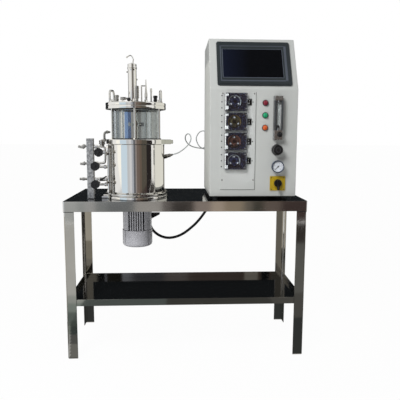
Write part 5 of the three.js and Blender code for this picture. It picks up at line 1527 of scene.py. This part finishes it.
pump_heights = [axis_of(f"pump_rotor_{number}_spin").z for number in (1, 2, 3, 4)]
rotor_x = axis_of("pump_rotor_1_spin").x
heads, details, clips, dots = [], [], [], []
for z in pump_heights:
    heads.append(placed(facing_front(pump_head()), rotor_x + pocket_aside, panel_face_y, z))
    for across in (-36.5, 39):
        for up in (-27.5, 27.5):
            head = turned([(0, 0), (3.6, 0), (3.6, 2.0), (3, 2.6), (0, 2.6)], 20)
            details += at_front([head], rotor_x + pocket_aside + across, head_face_y + 1.4, z + up)
    clips += [block(155, 158.6, head_face_y - 0.8, head_face_y + 0.1, z - 32, z + 32, 0.3),
              block(157.5, 168.5, head_face_y - 2.2, head_face_y + 0.1, z + 22.5, z + 31, 0.8),
              block(157.5, 168.5, head_face_y - 2.2, head_face_y + 0.1, z - 30, z - 17, 0.8)]
    for x, up, size in ((143.7, 25, 2.6), (143.7, 0, 2.6), (143.7, -24, 2.6), (270.5, 0, 2.4)):
        dot = turned([(0, 0), (size, 0), (size - 0.2, 0.5), (0, 0.6)], 20)
        dots.append(placed(facing_front(dot), x, panel_face_y, z + up))
# Two thin dark strips along the panel's right and bottom edges are painted shade in the gap round the
# panel, and they join the printed dots in one piece.
gaps = [block(cabinet_x + 6.2, cabinet_x + 8, front_y - 0.35, front_y - 0.02, 43.4, 441),
        block(cabinet_x - 136.25, cabinet_x + 8, front_y - 0.35, front_y - 0.02, 43.4, 45.1)]
dots += on_bench(gaps)
piece("pump_heads", head_plastic, heads)
piece("pump_head_screws", turned_steel, details)
piece("cover_hinge_clips", clip_plastic, clips)
piece("pump_marks_and_painted_shade", print_black, dots)

# %% [markdown]
# A rotor carries three rollers between two plates. The tube comes in at the left, goes round the raceway
# and leaves at the right. Rotor and tube could be one piece, but the tube doesn't turn, so it rides on
# the bench as the panel does, and the rotor rides on its own body. A cover is the CAD shape with its
# edges broken.

# %% Rotors, tubes and covers


def rotor():
    """A back plate, a hub, a star with three arms and the shaft's end, with the front at the top."""
    plate = turned([(0, -13.7), (23, -13.7), (23, -10.9), (22, -10.4), (0, -10.4)], 56)
    hub = turned([(0, -13.7), (9, -13.7), (9, -1.4), (8, -0.5), (0, -0.5)], 32)
    star = turned([(0, -3), (13.4, -3), (14, -2.4), (14, -1.1), (13.4, -0.5), (0, -0.5)], 40)
    pin = rod((0, 0, -18.7), (0, 0, -12.7), 4, sides=24)
    arms = [leaned(block(-3.5, 3.5, 6, 20, -3, -0.9, 0.7), 120 * arm - 61.35, "Z") for arm in range(3)]
    return [plate, hub, star, pin, *arms]


def threefold(profile, sides):
    """Three turned parts where the rollers stand round the hub."""
    made = []
    for number in range(3):
        angle = number / 3 * math.tau + 0.5
        made.append(placed(turned(profile, sides), 17 * math.cos(angle), -17 * math.sin(angle)))
    return made


def tube_way():
    """Up the left side of the pocket, round over the rotor, and down the right side."""
    turns = [math.radians(angle) for angle in range(205, -30, -15)]
    arc = [(24.6 * math.cos(turn), 24.6 * math.sin(turn), -6.2) for turn in turns]
    return [(-24.4, -16, -6.2), *arc, (24.4, -18, -6.2)]


roller_line = [(0, -11.9), (5.8, -11.9), (6.5, -11), (6.5, -2.4), (5.8, -1.5), (0, -1.5)]
pin_line = [(0, -1.6), (3, -1.6), (3, -0.8), (2.4, -0.4), (0, -0.4)]
tubes = [clear_tube, olive_tube, brown_tube, clear_tube]
wheels = [rotor_plastic, olive_rotor, brown_rotor, rotor_plastic]
for number, (z, tube, wheel) in enumerate(zip(pump_heights, tubes, wheels), start=1):
    body = f"pump_rotor_{number}"
    at = (rotor_x, head_face_y, z)
    piece(body + "_star", wheel, at_front(rotor(), *at), body, body=body)
    piece(body + "_rollers", roller_plastic, at_front(threefold(roller_line, 28), *at), body=body)
    # The pale caps on the rollers' ends are painted highlights.
    piece(body + "_pin_highlights", pin_plastic, at_front(threefold(pin_line, 20), *at), body=body)
    piece(f"pump_tube_{number}", tube, at_front([bent(through(tube_way(), 2), 2.1, 14)], *at))
    cover = f"pump_cover_{number}"
    shell = copied(cover + "_shell", polycarbonate, cover, 0.8, body=cover)
    shell.visible_shadow = False

# %% [markdown]
# Beside each pump is a rocker switch in a shallow frame. The marks are the usual ones: a bar for on, a
# ring for off. They could be printed by the material, but as thin raised solids they stay sharp and tilt
# with the rocker.

# %% Pump switches
frames = []
for number, z in enumerate(pump_heights, start=1):
    body = f"pump_switch_{number}"
    at = axis_of(body + "_rock")
    for left, right, low, high in ((-10.5, -8, -13, 13), (8, 10.5, -13, 13), (-9, 9, 10.7, 13),
                                   (-9, 9, -13, -10.7)):
        frames.append(block(at.x + left, at.x + right, panel_face_y - 2.5, panel_face_y + 0.2,
                            z + low, z + high, 0.7))
    bar = block(-0.6, 0.6, -3.75, -3.45, 3.2, 7)
    ring = facing_front(turned([(1.6, 3.45), (2.5, 3.45), (2.5, 3.75), (1.6, 3.75)], 24, closed=True))
    tilt = [placed(leaned(part, 8, "X"), *at) for part in (bar, placed(ring, 0, 0, -5.2))]
    piece(body + "_marks", clip_plastic, tilt, body=body)
    copied(body + "_rocker", switch_black, body, 0.9, body=body)
piece("pump_switch_frames", switch_black, frames)

# %% [markdown]
# The gas flow meter is a tapered tube in a dark frame. Gas lifts a small float, and its height is read on
# the scale beside the tube. The frame is made of rails and end blocks, so the tube stays in view. The
# rails are smoked acrylic with a deep shine, and the end blocks are aluminium, which anodising leaves
# satin. Prints, the gauge's painted rim and yellow ABS are duller.

# %% Anodised aluminium, acrylic and print
aluminium = moulding("anodised_aluminium", "brushed_steel", "B4B6B8", "CFD0D1", 0.2, 0.35, 6,
                     more={"Metallic": 1.0})
acrylic = moulding("smoked_acrylic", "clear_plastic", "3C3E41", "4C4F53", 0.08, 0.2, 20)
tube_back = moulding("opal_acrylic", "clear_plastic", "A4A6A6", "B6B8B7", 0.15, 0.3, 20)
dial_white = moulding("printed_dial_white", "gauge_white", "D9D9E0", "E2E2E8", 0.35, 0.5, 15)
# This grey is for printed lines, and for the painted highlight ring on the regulator knob.
grey_print = moulding("grey_print_and_painted_highlight", "gauge_white", "4A4C50", "5A5C60", 0.3, 0.45)
rim_paint = moulding("painted_gauge_rim", "gauge_white", "3A4250", "475062", 0.2, 0.35, 10)
switch_yellow = moulding("moulded_yellow_abs", "yellow_plastic", "B2951A", "C2A520", 0.3, 0.45, 15)

# %% [markdown]
# Two rails and a back hold the tube between the end blocks. The scale is eleven ticks on an opal strip,
# with longer ones at both ends and in the middle. The ticks are thin blocks and not a pattern, so each
# can be placed to the tenth of a millimetre.

# %% Flow meter
low, high = corners("flow_meter_body")
meter_x, middle_y = (low.x + high.x) / 2, (low.y + high.y) / 2
meter_front, meter_back, meter_low, meter_high = low.y, high.y, low.z, high.z
window_low, window_high = meter_low + 40, meter_high - 20
rails = [
    block(meter_x - 18, meter_x - 11, meter_front + 0.3, meter_back, window_low, window_high, 1),
    block(meter_x + 11, meter_x + 18, meter_front + 0.3, meter_back, window_low, window_high, 1),
    block(meter_x - 18, meter_x + 18, meter_back - 6, meter_back, meter_low + 2, meter_high - 2, 0.6),
]
piece("flow_meter_rails", acrylic, rails, "flow_meter_body")
piece("flow_meter_scale_back", tube_back,
      [block(meter_x - 11, meter_x + 11, meter_back - 9, meter_back - 5.9, window_low, window_high)])
ends = [
    block(meter_x - 17, meter_x + 17, meter_front + 1, meter_back, meter_high - 21, meter_high - 2, 1.5),
    block(meter_x - 17.4, meter_x + 17.4, meter_front + 2, meter_back, meter_low + 2, meter_low + 41, 1.5),
    placed(turned([(0, 0), (7, 0), (7, 5), (5.5, 6), (5.5, 9), (0, 9)], 24), meter_x, middle_y,
           meter_low + 41),
    placed(turned([(0, -8), (6, -8), (7, -5), (7, 0), (0, 0)], 24), meter_x, middle_y,
           meter_high - 20.9),
]
piece("flow_meter_end_blocks", aluminium, ends)
cone = [(4.9, 50), (5.2, 50), (6.6, 152), (6.3, 152)]
pane = piece("flow_meter_tube", glass,
             [placed(turned(cone, 32, closed=True), meter_x, middle_y, meter_low)])
pane.visible_shadow = False
ticks = []
for step in range(11):
    wide = 3.4 if step % 5 == 0 else 1.8
    z = meter_low + 56 + step * 9
    ticks.append(block(meter_x - 10.8, meter_x - 10.8 + wide, meter_back - 9.3, meter_back - 8.9,
                       z - 0.35, z + 0.35))
piece("flow_meter_scale_ticks", print_black, ticks)
copied("flow_meter_float_turned", moulded, "flow_meter_float", 0.15, body="flow_meter_float")

# %% [markdown]
# Knobs are turned shapes with a skirt and fine flutes for the fingers. Only the flutes are not round: a
# ring of thin ribs stands out of the cap. A grey line is printed on the flow meter knob's cap, and the
# grey ring on the regulator knob's cap is a painted highlight.

# %% Knobs


def knob(radius, depth, ribs):
    """A fluted knob about Z with its back at zero, and its pointer line as a second part."""
    cap = turned([(0, 0), (radius - 0.6, 0), (radius, 0.6), (radius, depth * 0.22),
                  (radius - 1.2, depth * 0.3), (radius - 2, depth * 0.34), (radius - 2.6, depth - 1.6),
                  (radius - 4, depth - 0.4), (0, depth)], 72)
    flutes = []
    for number in range(ribs):
        rib = block(radius - 3.2, radius - 1.3, -0.5, 0.5, depth * 0.34, depth - 2.2, 0.25)
        flutes.append(leaned(rib, number * 360 / ribs, "Z"))
    line = block(-0.7, 0.7, 1, radius - 4.4, depth - 0.5, depth + 0.5, 0.15)
    return cap, flutes, line


for name, size, deep, ribs, joint, reach in (
    ("flow_meter_knob", 10.5, 9, 24, "flow_meter_knob_turn", 7),
    ("regulator_knob", 21.5, 31, 36, "regulator_knob_turn", 12),
):
    at = axis_of(joint)
    cap, flutes, line = knob(size, deep, ribs)
    shaft = rod((0, 0, -reach), (0, 0, 1), 3, sides=20)
    solid = at_front([cap, shaft, *flutes], *at)
    piece(name + "_fluted", moulded, solid, name, body=name)
    # On the regulator knob, the grey ring is a painted highlight on the cap.
    ring = turned([(8.4, 30.6), (9.8, 30.6), (9.8, 31.3), (8.4, 31.3)], 48, closed=True)
    mark = line if name == "flow_meter_knob" else ring
    piece(name + "_mark", grey_print, at_front([mark], *at), body=name)
collar = facing_front(turned([(22.6, 0), (23.6, 0), (23.6, 1.2), (22.8, 2), (22.6, 2)], 64, closed=True))
regulator_at = axis_of("regulator_knob_turn")
nut = facing_front(turned([(6, 0), (16, 0), (16, 0.6), (6, 0.6)], 40, closed=True))
piece("regulator_collar", aluminium,
      [placed(part, regulator_at.x, front_y - 0.1, regulator_at.z) for part in (collar, nut)])

# %% [markdown]
# The pressure gauge has a round case with a rolled rim, a white printed dial with ticks and figures from
# 0 to 10, and a flat glass. The figures are text, which is made a mesh before it is placed. The pointer
# turns on its own pin.

# %% Gauge
gauge_at = axis_of("gauge_pointer_swing")
gauge_foot = front_y - 0.3
case_profile = [
    (0, 0), (22.7, 0), (22.7, 12), (24.6, 13), (25.7, 14), (25.7, 25.6), (25, 27.2), (23.6, 28),
    (22.4, 27.6), (21.7, 26.4), (21.7, 23), (0, 23),
]
dial_back = facing_front(turned([(0, 23.05), (21.6, 23.05), (21.6, 23.35), (0, 23.35)], 64))
case = facing_front(turned(case_profile, 72))
piece("gauge_case_with_rim", rim_paint, [placed(case, gauge_at.x, gauge_foot, gauge_at.z)], "gauge_case")
piece("gauge_dial", dial_white, [placed(dial_back, gauge_at.x, gauge_foot, gauge_at.z)])


def figure(text, size, x, y, z):
    """A printed figure that faces the operator, centred on a point, as a thin mesh part."""
    letters = bpy.data.curves.new("figure_" + text, "FONT")
    letters.body = text
    letters.size = size
    letters.align_x, letters.align_y = "CENTER", "CENTER"
    letters.extrude = 0.06
    holder = bpy.data.objects.new("figure_" + text, letters)
    scene.collection.objects.link(holder)
    bpy.context.view_layer.update()
    flat = holder.evaluated_get(bpy.context.evaluated_depsgraph_get()).to_mesh()
    part = bmesh.new()
    part.from_mesh(flat)
    holder.to_mesh_clear()
    bpy.data.objects.remove(holder)
    return placed(facing_front(part), x, y, z)


marks = []
dial_y = gauge_foot - 23.35
for step in range(11):
    turn = -135 + step * 27
    tick = block(-0.4, 0.4, 16.6, 20.2, 0, 0.15)
    marks.append(placed(facing_front(leaned(tick, -turn, "Z")), gauge_at.x, dial_y, gauge_at.z))
    if step % 2 == 0:
        reach, angle = 13.2, math.radians(turn)
        marks.append(figure(str(step), 4.6, gauge_at.x + reach * math.sin(angle), dial_y - 0.1,
                            gauge_at.z + reach * math.cos(angle)))
piece("gauge_print", print_black, marks)
copied("gauge_pointer_painted", moulded, "gauge_pointer", 0.15, body="gauge_pointer")
window = facing_front(turned([(0, 27.1), (22.1, 27.1), (22.1, 27.5), (0, 27.5)], 64))
pane = piece("gauge_window", glass, [placed(window, gauge_at.x, gauge_foot, gauge_at.z)])
pane.visible_shadow = False

# %% [markdown]
# The main switch is black on a yellow plate, the usual colours of a switch that cuts the supply. Its
# handle is a bar on a disc: a flat outline pulled up, and a turned line. A printed line on the bar points
# at what is set.

# %% Main switch
switch_at = axis_of("main_switch_turn")
copied("main_switch_plate", switch_yellow, "switch_plate", 0.9)
disc = facing_front(turned([(0, 0.3), (15.4, 0.3), (16, 0.9), (16, 8), (15, 9), (0, 9)], 56))
bar_line = [(-5, -26), (-3.4, -28), (3.4, -28), (5, -26), (5, 12), (3.4, 14), (-3.4, 14), (-5, 12)]
bar = placed(facing_front(prism(bar_line, 12, 1.2)), 0, -8, 0)
stem = rod((0, -1, 0), (0, 4.8, 0), 4, sides=20)
piece("main_switch_bar", moulded, [placed(part, *switch_at) for part in (disc, bar, stem)],
      "main_switch_handle", body="main_switch_handle")
line = block(-0.8, 0.8, -20.35, -19.9, -24, -12, 0.1)
piece("main_switch_line", grey_print, [placed(line, *switch_at)], body="main_switch_handle")
plate_screws = []
plate_x, plate_z = 378.5, bench_top + 70.5
for x in (-26, 26):
    for z in (-24, 24):
        head = facing_front(turned([(0, 0), (2.6, 0), (2.4, 0.9), (0, 1.3)], 20))
        plate_screws.append(placed(head, plate_x + x, front_y - 3.8, plate_z + z))
piece("main_switch_plate_screws", turned_steel, plate_screws)

# %% [markdown]
# Three pilot lamps show what the plant is doing. Each is a domed lens of dyed polycarbonate in a slim
# ring. The lamps are off, so the lenses are deep in colour, with a light spot from the room.

# %% Pilot lamps
lamp_x = 322
dome_line = [(0, 0), (10, 0), (10.4, 1.2), (10.4, 5), (9.6, 7.4), (7.4, 9.4), (4, 10.6), (0, 11)]
ring_line = [(10.6, 0), (12.6, 0), (12.6, 2), (12, 2.8), (10.6, 2.8)]
rings = []
for colour, z, dark, pale in (
    ("red", 1065.7, "6E1228", "8E2236"), ("green", 1016.1, "0E8A5A", "1FB07A"),
    ("orange", 965.8, "C4501E", "E06A30"),
):
    dye = moulding("polycarbonate_" + colour, "black_plastic", dark, pale, 0.08, 0.18, 6,
                   more={"Coat Weight": 0.6})
    piece("pilot_lamp_" + colour, dye, at_front([turned(dome_line, 48)], lamp_x, front_y - 0.4, z))
    rings += at_front([turned(ring_line, 48, closed=True)], lamp_x, front_y - 0.1, z)
piece("pilot_lamp_rings", moulded, rings)

# %% [markdown]
# Small pan-head screws hold the pump panel. They are turned as the others are, and sit a tenth of a
# millimetre deep in the sheet.

# %% Panel screws
heads = []
for x, z in ((146.9, 751.8), (275.8, 751.8), (146.9, 1102), (275.8, 1102)):
    heads.append(placed(facing_front(turned([(0, 0), (3, 0), (2.8, 1), (1.6, 1.8), (0, 2)], 20)), x,
                        panel_face_y + 0.1, z))
piece("pump_panel_screws", turned_steel, heads)
